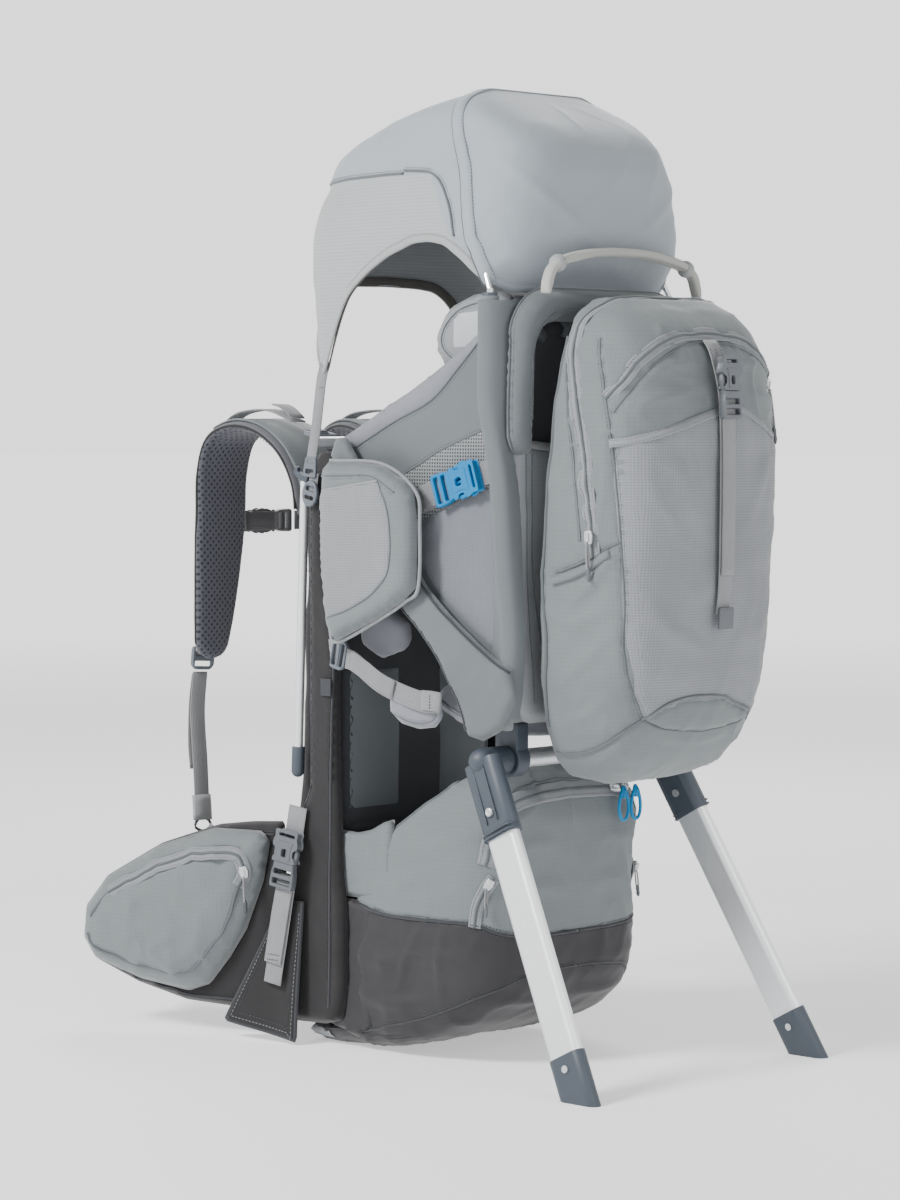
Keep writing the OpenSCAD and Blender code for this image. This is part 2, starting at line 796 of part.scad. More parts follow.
stirrup_front = [132, 8, 386];
stirrup_rear = [137, -130, 352];

// Foot strap with a padded loop at its rear end
module stirrup() {
    color(light_mesh) {
        band([stirrup_front, [134, -40, 366], [136, -96, 352], stirrup_rear],
             slim_webbing_w, webbing_t, [0, 0.3, 1]);
        hull() {
            translate([139.5, -84, 344]) rotate([0, 90, 0]) cylinder(h = 3, r = 14);
            translate([140.5, -128, 342]) rotate([0, 90, 0]) cylinder(h = 3, r = 14);
        }
    }
}

module stirrup_left() { mirror([1, 0, 0]) stirrup(); }
module stirrup_right() { stirrup(); }

front_uprights();
upright_caps();
struts();
rear_uprights();
top_crossbar();
pivot_brackets();
back_panel();
side_strips();
base_boot();
cargo_bag();
back_shell();
headrest_rim();
head_support();
cockpit_side_left();
cockpit_side_right();
front_pad();
side_pockets();
frame_webbing();
cockpit_sockets();
flap_sockets();
frame_ladder_locks();
kickstand_crossbar();
elbow_left();
elbow_right();
leg_left();
leg_right();
foot_left();
foot_right();
kickstand_rivets();
sunshade_hoop();
sunshade_brim();
sunshade_canopy();
sunshade_straps();
daypack_bag();
daypack_webbing();
daypack_socket();
daypack_plug();
shoulder_yoke();
shoulder_strap_left();
shoulder_strap_right();
harness_webbing();
strap_ladder_locks();
sternum_strap();
sternum_plug();
child_seat();
hip_wing_left();
hip_wing_right();
hip_pouch_left();
hip_pouch_right();
belt_socket_strap();
belt_plug_strap();
cockpit_plug_left();
cockpit_plug_right();
flap_plug_left();
flap_plug_right();
grab_handle();
cargo_zip_pull_left();
cargo_zip_pull_right();
stirrup_left();
stirrup_right();
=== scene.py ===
"""Framed child carrier: the looks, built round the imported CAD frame.

Lengths in this file are millimetres in the row frame until mesh() turns them into metres.
Paired pieces are drawn on the wearer's right (+X) and mirrored.
"""
import math

import bmesh
import bpy
import numpy as np
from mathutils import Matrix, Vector, noise
from mathutils.bvhtree import BVHTree
from mathutils.geometry import delaunay_2d_cdt


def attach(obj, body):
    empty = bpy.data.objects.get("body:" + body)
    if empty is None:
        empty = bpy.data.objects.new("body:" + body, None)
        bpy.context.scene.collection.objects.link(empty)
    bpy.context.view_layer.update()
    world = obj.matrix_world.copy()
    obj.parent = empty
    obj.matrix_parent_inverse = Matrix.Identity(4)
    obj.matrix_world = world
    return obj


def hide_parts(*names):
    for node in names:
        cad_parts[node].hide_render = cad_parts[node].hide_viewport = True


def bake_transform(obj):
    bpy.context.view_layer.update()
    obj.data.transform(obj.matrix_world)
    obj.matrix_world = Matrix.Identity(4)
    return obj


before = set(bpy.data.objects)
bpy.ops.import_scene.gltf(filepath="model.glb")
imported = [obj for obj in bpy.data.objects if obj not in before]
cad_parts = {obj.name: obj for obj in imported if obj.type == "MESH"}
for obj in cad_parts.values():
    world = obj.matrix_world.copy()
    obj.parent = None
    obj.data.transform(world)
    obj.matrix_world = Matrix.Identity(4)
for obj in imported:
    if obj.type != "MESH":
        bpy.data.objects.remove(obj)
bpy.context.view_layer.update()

SIDES = {"right": 1, "left": -1}

# ---------------------------------------------------------------- curves


def arr(points):
    """The points as an array of floats."""
    return np.array(points, float)


def curve(points, n=6):
    """Catmull-Rom curve through the points, n steps to a span."""
    p = arr(points)
    q = np.vstack([2 * p[0] - p[1], p, 2 * p[-1] - p[-2]])
    out = []
    for k in range(len(p) - 1):
        a, b, c, d = q[k:k + 4]
        for i in range(n):
            t = i / n
            out.append(0.5 * (2 * b + (c - a) * t + (2 * a - 5 * b + 4 * c - d) * t * t
                              + (3 * b - a - 3 * c + d) * t ** 3))
    return arr(out + [p[-1]])


def even(path, step):
    """The path again, with points a step apart."""
    path = arr(path)
    s = np.r_[0, np.cumsum(np.linalg.norm(np.diff(path, axis=0), axis=1))]
    n = max(2, int(round(s[-1] / step)) + 1)
    t = np.linspace(0, s[-1], n)
    return np.column_stack([np.interp(t, s, path[:, k]) for k in range(3)])


def lengths(path):
    """Distance along the path at each of its points."""
    return np.r_[0, np.cumsum(np.linalg.norm(np.diff(path, axis=0), axis=1))]


def tangents(path):
    t = np.gradient(path, axis=0)
    return t / np.maximum(np.linalg.norm(t, axis=1)[:, None], 1e-9)


def unit(v):
    """The vector, or each row of vectors, at length 1."""
    v = arr(v)
    return v / np.maximum(np.linalg.norm(v, axis=-1, keepdims=True), 1e-9)


def bump(points, scale, seed=0.0):
    """Smooth noise from -1 to 1 at the points, with features about scale millimetres across."""
    return arr([noise.noise(Vector(p) / scale + Vector((seed, 7.3 * seed, 0))) for p in points])


def mirror_x(line, s):
    """The line on the side that s names."""
    return [(p[0] * s, p[1], p[2]) for p in line]


def both_sides(line):
    """A line given from one side to the middle, carried on to the other side."""
    return list(line) + mirror_x([p for p in reversed(line) if abs(p[0]) > 2], -1)


def on_each(folds):
    """Folds given on the right as (line, height, width), on the left and then on the right."""
    return [(mirror_x(line, s), height, width) for s in (-1, 1) for line, height, width in folds]


def on_both(right):
    """An outline given for its right half from the bottom up, closed by its mirror image."""
    return list(right) + [(-x, z) for x, z in reversed(right)]


def arc(cx, cz, r, a0, a1, n=9):
    """Points of a circular arc between two angles in degrees."""
    return [(cx + r * math.cos(math.radians(a)), cz + r * math.sin(math.radians(a))) for a in np.linspace(a0, a1, n)]


# ---------------------------------------------------------------- meshes


def mesh(name, verts, faces, mat, body, side=1, uv=None, smooth=True, slot=None, hides=()):
    """A piece of the visual model, from millimetres on the right side; side -1 mirrors it to the left.

    body is the body it rides on; given as two bodies and two places, the piece is left on no body, with its placing
    baked into its points.
    hides names the CAD nodes it replaces; slot is not used.
    """
    v = arr(verts) / 1000
    v[:, 0] *= side
    faces = [list(f)[::side] for f in faces]
    me = bpy.data.meshes.new(name)
    me.from_pydata(v.tolist(), [], faces)
    if uv is not None:
        layer = me.uv_layers.new(name="UVMap")
        flat = arr(uv)
        for loop in me.loops:
            layer.data[loop.index].uv = flat[loop.vertex_index]
    me.validate()
    if smooth:
        me.shade_smooth()
    obj = bpy.data.objects.new(name, me)
    bpy.context.scene.collection.objects.link(obj)
    for m in mat if isinstance(mat, list) else [mat]:
        me.materials.append(m)
    if isinstance(body, tuple):
        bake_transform(obj)
    elif body:
        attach(obj, body)
    if hides:
        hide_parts(*hides)
    return obj


def lattice(rows, loop=False, caps=False):
    """Vertices and faces of a grid of points, closed round each row if loop, with end caps if caps."""
    rows = [arr(r) for r in rows]
    m, n = len(rows), len(rows[0])
    faces = []
    for j in range(m - 1):
        for i in range(n if loop else n - 1):
            a, b = j * n + i, j * n + (i + 1) % n
            faces.append((a, b, b + n, a + n))
    if caps:
        faces.append(tuple(range(n))[::-1])
        faces.append(tuple((m - 1) * n + i for i in range(n)))
    return np.vstack(rows), faces


def thicken(obj, t, offset=-1):
    """Gives a sheet a thickness in millimetres."""
    mod = obj.modifiers.new("thickness", "SOLIDIFY")
    mod.thickness = t / 1000
    mod.offset = offset
    mod.use_even_offset = False
    return obj


def frames(path, side=None, normals=None):
    """Across and up vectors along a path, from a side vector or from given normals."""
    t = tangents(path)
    if normals is not None:
        up = unit(arr(normals) - (arr(normals) * t).sum(1)[:, None] * t)
        return unit(np.cross(up, t)), up
    s = arr(side)
    s = np.tile(s, (len(path), 1)) if s.ndim == 1 else s
    up = unit(np.cross(t, s))
    return unit(np.cross(up, t)), up


SECTION = [(1, 0.3), (0.93, 1), (-0.93, 1), (-1, 0.3), (-1, -0.3), (-0.93, -1), (0.93, -1), (1, -0.3)]


def band(name, path, width, thick, mat, body, side=None, normals=None, s=1, step=6, flat=False, **kw):
    """Webbing: a flat band with rounded edges. The UV's u runs across in metres and v along."""
    path = arr(path) if flat else even(path, step)
    if normals is not None and arr(normals).ndim == 1:
        normals = np.tile(arr(normals), (len(path), 1))
    if normals is not None and len(arr(normals)) != len(path):
        k = np.linspace(0, len(normals) - 1, len(path))
        normals = np.column_stack([np.interp(k, range(len(normals)), arr(normals)[:, c]) for c in range(3)])
    if side is not None and arr(side).ndim == 2 and len(side) != len(path):
        k = np.linspace(0, len(side) - 1, len(path))
        side = np.column_stack([np.interp(k, range(len(side)), arr(side)[:, c]) for c in range(3)])
    across, up = frames(path, side, normals)
    w = np.broadcast_to(arr(width), (len(path),)) if np.ndim(width) == 0 else np.interp(
        np.linspace(0, 1, len(path)), np.linspace(0, 1, len(width)), width)
    rows = [[p + c[0] * h / 2 * a + c[1] * thick / 2 * u for c in SECTION]
            for p, a, u, h in zip(path, across, up, w)]
    v, f = lattice(rows, loop=True, caps=True)
    along = lengths(path)
    uv = [(c[0] * h / 2000, y / 1000) for y, h in zip(along, w) for c in SECTION]
    return mesh(name, v, f, mat, body, s, uv, **kw)


def tube(name, path, r, mat, body, s=1, sides=10, step=5, radii=None, flat=False, **kw):
    """A round rod along a path. radii makes it swell and narrow; flat keeps the path's points as they are."""
    path = arr(path) if flat else even(path, step)
    ref = (0, 0, 1) if np.ptp(path[:, 2]) < 0.8 * np.ptp(path, axis=0).max() else (1, 0.2, 0)
    across, up = frames(path, ref)
    rr = np.full(len(path), r, float) if radii is None else np.interp(
        np.linspace(0, 1, len(path)), np.linspace(0, 1, len(radii)), radii)
    ang = np.arange(sides) * 2 * math.pi / sides
    rows = [[p + q * (math.cos(t) * a + math.sin(t) * u) for t in ang]
            for p, a, u, q in zip(path, across, up, rr)]
    v, f = lattice(rows, loop=True, caps=True)
    return mesh(name, v, f, mat, body, s, **kw)


THREAD_R, THREAD_LIFT = 0.42, 0.1


def stitches(name, path, normals, mat, body, s=1, pitch=3.4, long=2.2):
    """A row of raised thread stitches that follows a path on a surface."""
    path = arr(path)
    length = lengths(path)
    n = max(1, int(length[-1] / pitch))
    verts, faces = [], []
    nor = arr(normals)
    nor = np.tile(nor, (len(path), 1)) if nor.ndim == 1 else nor
    for k in range(n):
        mid = (k + 0.5) * pitch
        pts = [arr([np.interp(mid + d, length, path[:, c]) for c in range(3)])
               for d in (-long / 2, -long / 4, long / 4, long / 2)]
        u = unit(arr([np.interp(mid, length, nor[:, c]) for c in range(3)]))
        t = unit(pts[-1] - pts[0])
        a = unit(np.cross(u, t))
        base = len(verts)
        for p, q in zip(pts, (-0.2, 1, 1, -0.2)):
            for ang in (0, 60, 120, 180, 270):
                c, z = math.cos(math.radians(ang)), math.sin(math.radians(ang))
                verts.append(p + a * c * THREAD_R * (0.5 + max(q, 0) / 2)
                             + u * (z * THREAD_R * max(q, 0.1) + THREAD_LIFT))
        for j in range(3):
            for i in range(5):
                x, y = base + j * 5 + i, base + j * 5 + (i + 1) % 5
                faces.append((x, y, y + 5, x + 5))
    return mesh(name, verts, faces, mat, body, s)


# ---------------------------------------------------------------- surfaces to lay things on


class Surface:
    """Finds the nearest place on a finished piece, so that seams and tapes lie on it."""

    def __init__(self, *objs):
        verts, polys = [], []
        for o in objs:
            base = len(verts)
            verts += [v.co * 1000 for v in o.data.vertices]
            polys += [[base + i for i in p.vertices] for p in o.data.polygons]
        self.tree = BVHTree.FromPolygons(verts, polys)

    def lay(self, points, lift=0.0, n=6, step=4.0, ray=None):
        """Points on the surface near the given curve, lifted along its normals, and those normals."""
        path = even(curve(points, n), step) if n else even(points, step)
        out, nor = [], []
        for p in path:
            hit = None
            if ray is not None:
                hit = self.tree.ray_cast(Vector(p - 60 * arr(ray)), Vector(ray), 200)
            if hit is None or hit[0] is None:
                hit = self.tree.find_nearest(Vector(p))
            co, u = arr(hit[0]), arr(hit[1])
            if ray is not None and u @ arr(ray) > 0:
                u = -u
            out.append(co)
            nor.append(u)
        out, nor = arr(out), arr(nor)
        for _ in range(2):
            out[1:-1] = (out[:-2] + 2 * out[1:-1] + out[2:]) / 4
            nor[1:-1] = (nor[:-2] + 2 * nor[1:-1] + nor[2:]) / 4
        nor = unit(nor)
        return out + nor * lift, nor


def seam(name, surf, points, mat, body, s=1, r=1.1, lift=0.2, both=None, thread=None, ray=None):
    """A piped seam on a surface, with rows of stitches beside it."""
    path, nor = surf.lay(points, lift, ray=ray)
    obj = tube(name, path, r, mat, body, s, sides=8, flat=True)
    if thread:
        across = unit(np.cross(nor, tangents(path)))
        for k, d in enumerate(both or (3.2,)):
            row, rn = surf.lay(path + across * d, 0.15, n=0, step=3.0, ray=ray)
            stitches(f"{name}_stitch_{k}", row, rn, thread, body, s)
    return obj


def zip_line(name, surf, points, body, s=1, width=17, lift=0.8):
    """A zip: a tape of fabric, a ridge of coil along its middle, and a row of stitches on each side."""
    path, nor = surf.lay(points, lift)
    band(f"{name}_tape", path, width, 1.5, RIPSTOP_PALE, body, normals=nor, s=s, flat=True)
    across = unit(np.cross(nor, tangents(path)))
    length = lengths(path)
    fine = even(path, 1.3)
    k = lengths(fine)
    fn = unit(np.column_stack([np.interp(k, length, nor[:, c]) for c in range(3)]))
    tube(f"{name}_coil", fine + fn * 0.9, 1.5, SEAM_DARK, body, s, sides=8, flat=True,
         radii=[1.2 if i % 2 else 1.9 for i in range(len(fine))])
    for i, d in enumerate((-width * 0.36, width * 0.36)):
        stitches(f"{name}_stitch_{i}", path + across * d + nor * 0.8, nor, THREAD, body, s, pitch=3.0)
    return path, nor


# ---------------------------------------------------------------- materials


def rgb(code):
    """A hex colour as linear light."""
    c = [int(code[i:i + 2], 16) / 255 for i in (1, 3, 5)]
    return tuple(x / 12.92 if x <= 0.04045 else ((x + 0.055) / 1.055) ** 2.4 for x in c) + (1,)


def shade(c, k):
    """A colour k times as bright."""
    return tuple(min(1, x * k) for x in c[:3]) + (1,)


class Nodes:
    """A small writer of shader nodes."""

    def __init__(self, name, rough=0.8, metallic=0.0, sheen=0.0, spec=0.3):
        self.mat = bpy.data.materials.new(name)
        self.mat.use_nodes = True
        self.t = self.mat.node_tree
        self.bsdf = self.t.nodes["Principled BSDF"]
        self.bsdf.inputs["Roughness"].default_value = rough
        self.bsdf.inputs["Metallic"].default_value = metallic
        self.bsdf.inputs["Specular IOR Level"].default_value = spec
        if sheen:
            self.bsdf.inputs["Sheen Weight"].default_value = sheen
            self.bsdf.inputs["Sheen Roughness"].default_value = 0.45
        self._box = None

    def add(self, kind, **inputs):
        node = self.t.nodes.new("ShaderNode" + kind)
        for k, v in inputs.items():
            self.put(node, k, v)
        return node

    def put(self, node, key, value):
        socket = node.inputs[int(key[1:])] if key[0] == "i" and key[1:].isdigit() else node.inputs[key]
        if isinstance(value, bpy.types.NodeSocket):
            self.t.links.new(value, socket)
        else:
            socket.default_value = value

    def math(self, op, a, b=0.0, c=0.0):
        n = self.add("Math", i0=a, i1=b, i2=c)
        n.operation = op
        return n.outputs[0]

    def mix(self, fac, a, b):
        n = self.t.nodes.new("ShaderNodeMix")
        n.data_type = "RGBA"
        self.put(n, "i0", fac)
        for key, value in (("i6", a), ("i7", b)):
            self.put(n, key, value)
        return n.outputs[2]

    def xyz(self):
        """Object coordinates in millimetres, one socket each."""
        co = self.add("TexCoord")
        sep = self.add("SeparateXYZ", i0=co.outputs["Object"])
        return [self.math("MULTIPLY", o, 1000.0) for o in sep.outputs]

    def flat(self):
        """Coordinates in millimetres that lie flat on whichever way the surface mostly faces."""
        if self._box:
            return self._box
        x, y, z = self.xyz()
        geo = self.add("TexCoord")
        n = self.add("SeparateXYZ", i0=geo.outputs["Normal"])
        nx, ny, nz = [self.math("ABSOLUTE", o) for o in n.outputs]
        fx = self.math("GREATER_THAN", nx, self.math("MAXIMUM", ny, nz))
        fz = self.math("GREATER_THAN", nz, self.math("MAXIMUM", nx, ny))

        def pick(f, a, b):
            return self.math("ADD", self.math("MULTIPLY", f, b),
                             self.math("MULTIPLY", self.math("SUBTRACT", 1.0, f), a))
        self._box = (pick(fx, x, y), pick(fz, z, y))
        return self._box

    def cloud(self, scale, detail=3.0):
        co = self.add("TexCoord")
        n = self.add("TexNoise", Scale=scale, Detail=detail, Vector=co.outputs["Object"])
        return n.outputs[0]

    def wave(self, u, pitch):
        """0 to 1 and back over each pitch of u."""
        s = self.math("SINE", self.math("MULTIPLY", u, 2 * math.pi / pitch))
        return self.math("MULTIPLY_ADD", s, 0.5, 0.5)

    def line(self, u, pitch, share):
        """1 on thin lines a pitch apart, else 0."""
        f = self.math("FRACT", self.math("DIVIDE", u, pitch))
        return self.math("LESS_THAN", f, share)

    def ramp(self, fac, lo, hi):
        r = self.add("MapRange", Value=fac)
        r.inputs["From Min"].default_value, r.inputs["From Max"].default_value = lo, hi
        return r.outputs[0]

    def relief(self, height, distance, strength=1.0):
        b = self.add("Bump", Height=height, Strength=strength, Distance=distance)
        self.t.links.new(b.outputs[0], self.bsdf.inputs["Normal"])

    def colour(self, socket):
        self.t.links.new(socket, self.bsdf.inputs["Base Color"])

    def rough(self, socket):
        self.t.links.new(socket, self.bsdf.inputs["Roughness"])


def woven(name, code, pitch=1.1, grid=0, contrast=0.10, rough=0.72, sheen=0.25, cloud=0.06, worn=0.0,
          spec=0.35):
    """Plain weave, with a ripstop grid if grid is its pitch in millimetres."""
    n = Nodes(name, rough, sheen=sheen, spec=spec)
    base = rgb(code)
    u, v = n.flat()
    warp, weft = n.wave(u, pitch), n.wave(v, pitch)
    thread = n.math("MULTIPLY", warp, weft)
    height = thread
    col = n.mix(n.ramp(n.cloud(9.0), 0.3, 0.7), shade(base, 1 - cloud), shade(base, 1 + cloud))
    col = n.mix(n.math("MULTIPLY", thread, contrast * 1.6), col, shade(base, 0.72))
    if grid:
        lines = n.math("MAXIMUM", n.line(u, grid, 0.16), n.line(v, grid, 0.16))
        col = n.mix(n.math("MULTIPLY", lines, contrast * 2.2), col, shade(base, 0.62))
        height = n.math("ADD", thread, n.math("MULTIPLY", lines, 0.8))
    if worn:
        col = n.mix(n.math("MULTIPLY", n.ramp(n.cloud(28.0, 6.0), 0.58, 0.75), worn), col, shade(base, 1.5))
    n.colour(col)
    n.rough(n.math("MULTIPLY_ADD", n.cloud(40.0), 0.18, rough - 0.09))
    n.relief(height, 0.0003, 0.25)
    return n.mat


def dotted(name, code, dark, pitch=4.0, size=0.3, square=False, turn=True, rough=0.85, relief=0.6):
    """Spacer or perforated mesh: a regular field of small dark holes."""
    n = Nodes(name, rough, sheen=0.2, spec=0.25)
    base, hole = rgb(code), rgb(dark)
    u, v = n.flat()
    if turn:
        u, v = n.math("ADD", u, v), n.math("SUBTRACT", u, v)
        pitch *= 1.4142
    fu = n.math("SUBTRACT", n.math("FRACT", n.math("DIVIDE", u, pitch)), 0.5)
    fv = n.math("SUBTRACT", n.math("FRACT", n.math("DIVIDE", v, pitch)), 0.5)
    if square:
        d = n.math("MAXIMUM", n.math("ABSOLUTE", fu), n.math("ABSOLUTE", fv))
    else:
        d = n.math("SQRT", n.math("ADD", n.math("MULTIPLY", fu, fu), n.math("MULTIPLY", fv, fv)))
    inside = n.ramp(d, size + 0.07, size - 0.07)
    tone = n.mix(n.ramp(n.cloud(12.0), 0.3, 0.7), shade(base, 0.95), shade(base, 1.06))
    n.colour(n.mix(inside, tone, hole))
    n.relief(n.math("SUBTRACT", 1.0, inside), 0.0006, relief)
    return n.mat


def striped(name, code, pitch=2.4, depth=0.16):
    """Light knitted mesh with fine level stripes."""
    n = Nodes(name, sheen=0.3, spec=0.25)
    base = rgb(code)
    u, v = n.flat()
    stripe = n.wave(v, pitch)
    small = n.wave(u, pitch * 0.6)
    col = n.mix(n.math("MULTIPLY", stripe, depth * 2), shade(base, 1.05), shade(base, 0.7))
    col = n.mix(n.math("MULTIPLY", small, depth), col, shade(base, 0.86))
    n.colour(col)
    n.relief(n.math("ADD", stripe, n.math("MULTIPLY", small, 0.5)), 0.0003, 0.3)
    return n.mat


def webbing(name, code):
    """Woven tape: fine ribs along it and a chevron weft across it, from the band's own UV."""
    n = Nodes(name, 0.75, sheen=0.3, spec=0.25)
    base = rgb(code)
    uv = n.add("UVMap")
    sep = n.add("SeparateXYZ", i0=uv.outputs[0])
    u, v = [n.math("MULTIPLY", sep.outputs[k], 1000.0) for k in (0, 1)]
    skew = n.math("ADD", v, n.math("MULTIPLY", n.math("ABSOLUTE", u), 0.9))
    rib, weft = n.wave(u, 2.3), n.wave(skew, 1.7)
    both = n.math("MULTIPLY", rib, weft)
    col = n.mix(n.math("MULTIPLY", both, 0.45), shade(base, 1.08), shade(base, 0.70))
    n.colour(n.mix(n.ramp(n.cloud(30.0), 0.35, 0.7), col, shade(base, 0.95)))
    n.relief(n.math("ADD", both, n.math("MULTIPLY", rib, 0.4)), 0.0004, 0.6)
    return n.mat


def moulded(name, code, rough=0.42, spec=0.5):
    """Moulded plastic with a fine spark-eroded grain and rubbed places."""
    n = Nodes(name, rough, spec=spec)
    base = rgb(code)
    worn = n.ramp(n.cloud(22.0, 5.0), 0.5, 0.78)
    n.colour(n.mix(n.math("MULTIPLY", worn, 0.25), base, shade(base, 1.25)))
    n.rough(n.math("MULTIPLY_ADD", n.cloud(60.0, 4.0), 0.2, rough - 0.1))
    n.relief(n.cloud(900.0, 2.0), 0.0002, 0.12)
    return n.mat


def anodised(name, code, rough):
    """Clear-anodised tube with faint drawing lines along it."""
    n = Nodes(name, rough, metallic=0.75, spec=0.5)
    base = rgb(code)
    co = n.add("TexCoord")
    squash = n.add("Mapping", Vector=co.outputs["Object"])
    squash.inputs["Scale"].default_value = (60, 60, 1)
    lines = n.add("TexNoise", Vector=squash.outputs[0], Scale=14.0, Detail=2.0).outputs[0]
    n.colour(n.mix(lines, shade(base, 0.9), shade(base, 1.05)))
    n.rough(n.math("MULTIPLY_ADD", lines, 0.16, rough - 0.08))
    n.relief(lines, 0.0001, 0.15)
    return n.mat


def thread_mat(name, code):
    """Twisted thread or cord."""
    n = Nodes(name, 0.7, sheen=0.3)
    base = rgb(code)
    n.colour(n.mix(n.cloud(700.0), shade(base, 0.8), shade(base, 1.15)))
    n.relief(n.cloud(1500.0), 0.0001, 0.5)
    return n.mat


RIPSTOP = woven("ripstop", "#757c7e", pitch=1.2, grid=4.2, contrast=0.10, spec=0.4)
RIPSTOP_PALE = woven("ripstop_pale", "#8e9195", pitch=1.2, grid=4.2, contrast=0.08)
STRETCH = dotted("stretch_mesh", "#8d9094", "#74777b", pitch=2.6, size=0.22, turn=False, rough=0.8, relief=0.4)
CANOPY = woven("canopy_ripstop", "#9ba3aa", pitch=1.0, grid=3.6, contrast=0.06, rough=0.6, sheen=0.3, cloud=0.04)
BINDING = woven("light_binding", "#a4a6a7", pitch=1.4, contrast=0.14, rough=0.8)
# Binding colour darkened as painted shade, used for the binding inside the canopy's edge
BINDING_PAINTED_SHADE = woven("binding_inside_painted_shade", "#55534f", pitch=1.4, contrast=0.14, rough=0.85)
CHARCOAL = woven("charcoal_cloth", "#201f21", pitch=1.3, contrast=0.14, rough=0.78, cloud=0.08)
BOOT = woven("boot_cloth", "#2b2a2d", pitch=1.5, contrast=0.12, rough=0.66, cloud=0.08, worn=0.10)
LILAC = woven("soft_knit", "#84868f", pitch=1.0, contrast=0.10, rough=0.9, sheen=0.5)
SPACER = dotted("spacer_mesh", "#5d5e66", "#35363c", pitch=5.2, size=0.27, relief=0.9)
SPACER_PLAIN = striped("spacer_back", "#66676c", pitch=2.6, depth=0.2)
PERFORATED = dotted("perforated_mesh", "#8b8e90", "#3a3c3e", pitch=3.3, size=0.27, square=True, turn=False, relief=0.8)
KNIT = dotted("sling_mesh", "#7c7f85", "#62656b", pitch=2.2, size=0.26, turn=True, relief=0.5)
SHADOW = woven("lining", "#3a3c40", pitch=1.3, contrast=0.12, rough=0.9)
PAD_GREY = woven("headrest_cloth", "#676d70", pitch=1.1, contrast=0.10, rough=0.7)
SILVER_PATCH = woven("reflective_patch", "#b9bcc2", pitch=2.2, contrast=0.2, rough=0.35, spec=0.7)
WEB = webbing("webbing", "#8e8f91")
WEB_PALE = webbing("webbing_pale", "#86878a")
WEB_DARK = webbing("webbing_dark", "#5c5b5e")
HANDLE = woven("handle_cloth", "#b3b4ae", pitch=1.6, contrast=0.12, rough=0.75)
THREAD = thread_mat("thread", "#7e8386")
THREAD_DARK = thread_mat("thread_dark", "#35373a")
SEAM_DARK = thread_mat("seam_dark", "#5f6568")
CORD_GREY = thread_mat("cord_grey", "#8f9092")
SLATE = moulded("slate_plastic", "#3d454f", rough=0.5)
LOCK = moulded("lock_plastic", "#616870", rough=0.45)
BUCKLE = moulded("buckle_plastic", "#5d6166", rough=0.42)
BUCKLE_DARK = moulded("buckle_dark", "#45474b", rough=0.42)
CYAN = moulded("cyan_plastic", "#0079b2", rough=0.42, spec=0.35)
CYAN_CORD = thread_mat("cyan_cord", "#0083bd")
ALU = anodised("anodised_tube", "#e6e8ea", rough=0.42)
STEEL = anodised("bright_steel", "#c9cbcd", rough=0.22)

# ---------------------------------------------------------------- camera, floor and light

CAMERA_AT, CAMERA_AZIMUTH, CAMERA_ELEVATION, CAMERA_DISTANCE = (0, 0, 0.44075), -46.5, 2.83, 3.5
LENS_MM, SENSOR_MM = 105, 36
BACKDROP, DIFFUSE_LIGHT = 1.8, 0.3
LAMP_AIM = (0, 0, 0.45)
FLOOR_HALF = 60000
FLOOR_GLOW = (1.2, 7.0, 0.6, 1.5)  # From and to these distances in metres, at these strengths

az, el = math.radians(CAMERA_AZIMUTH), math.radians(CAMERA_ELEVATION)
away = Vector((math.sin(az) * math.cos(el), -math.cos(az) * math.cos(el), math.sin(el)))
cam_data = bpy.data.cameras.new("camera")
cam_data.lens, cam_data.sensor_width = LENS_MM, SENSOR_MM
cam = bpy.data.objects.new("camera", cam_data)
cam.location = Vector(CAMERA_AT) + away * CAMERA_DISTANCE
cam.rotation_euler = (-away).to_track_quat("-Z", "Y").to_euler()
bpy.context.scene.collection.objects.link(cam)
bpy.context.scene.camera = cam

world = bpy.data.worlds.new("studio")
world.use_nodes = True
background = world.node_tree.nodes["Background"]
background.inputs[0].default_value = (1, 1, 1, 1)
# A white backdrop, which gives less light to matt surfaces than it shows to the camera and to metal
path_kind = world.node_tree.nodes.new("ShaderNodeLightPath")
level = world.node_tree.nodes.new("ShaderNodeMath")
level.operation = "MULTIPLY_ADD"
level.inputs[1].default_value, level.inputs[2].default_value = DIFFUSE_LIGHT - BACKDROP, BACKDROP
world.node_tree.links.new(path_kind.outputs["Is Diffuse Ray"], level.inputs[0])
world.node_tree.links.new(level.outputs[0], background.inputs[1])
bpy.context.scene.world = world


def lamp(name, place, size, power):
    """A round area lamp that points at the object."""
    data = bpy.data.lights.new(name, "AREA")
    data.shape, data.size, data.energy = "DISK", size, power
    obj = bpy.data.objects.new(name, data)
    obj.location = place
    obj.rotation_euler = (Vector(LAMP_AIM) - Vector(place)).to_track_quat("-Z", "Y").to_euler()
    bpy.context.scene.collection.objects.link(obj)


lamp("key", (-2.6, 0.7, 2.5), 1.0, 135)
lamp("fill", (-0.6, -3.2, 1.5), 2.2, 26)
lamp("rim", (2.0, 1.4, 2.2), 1.6, 36)

floor_mat = Nodes("floor", 0.9, spec=0.1)
floor_mat.colour(floor_mat.mix(floor_mat.cloud(1.5), (0.93, 0.93, 0.935, 1), (0.95, 0.95, 0.955, 1)))
floor_mat.bsdf.inputs["Emission Color"].default_value = (1, 1, 1, 1)
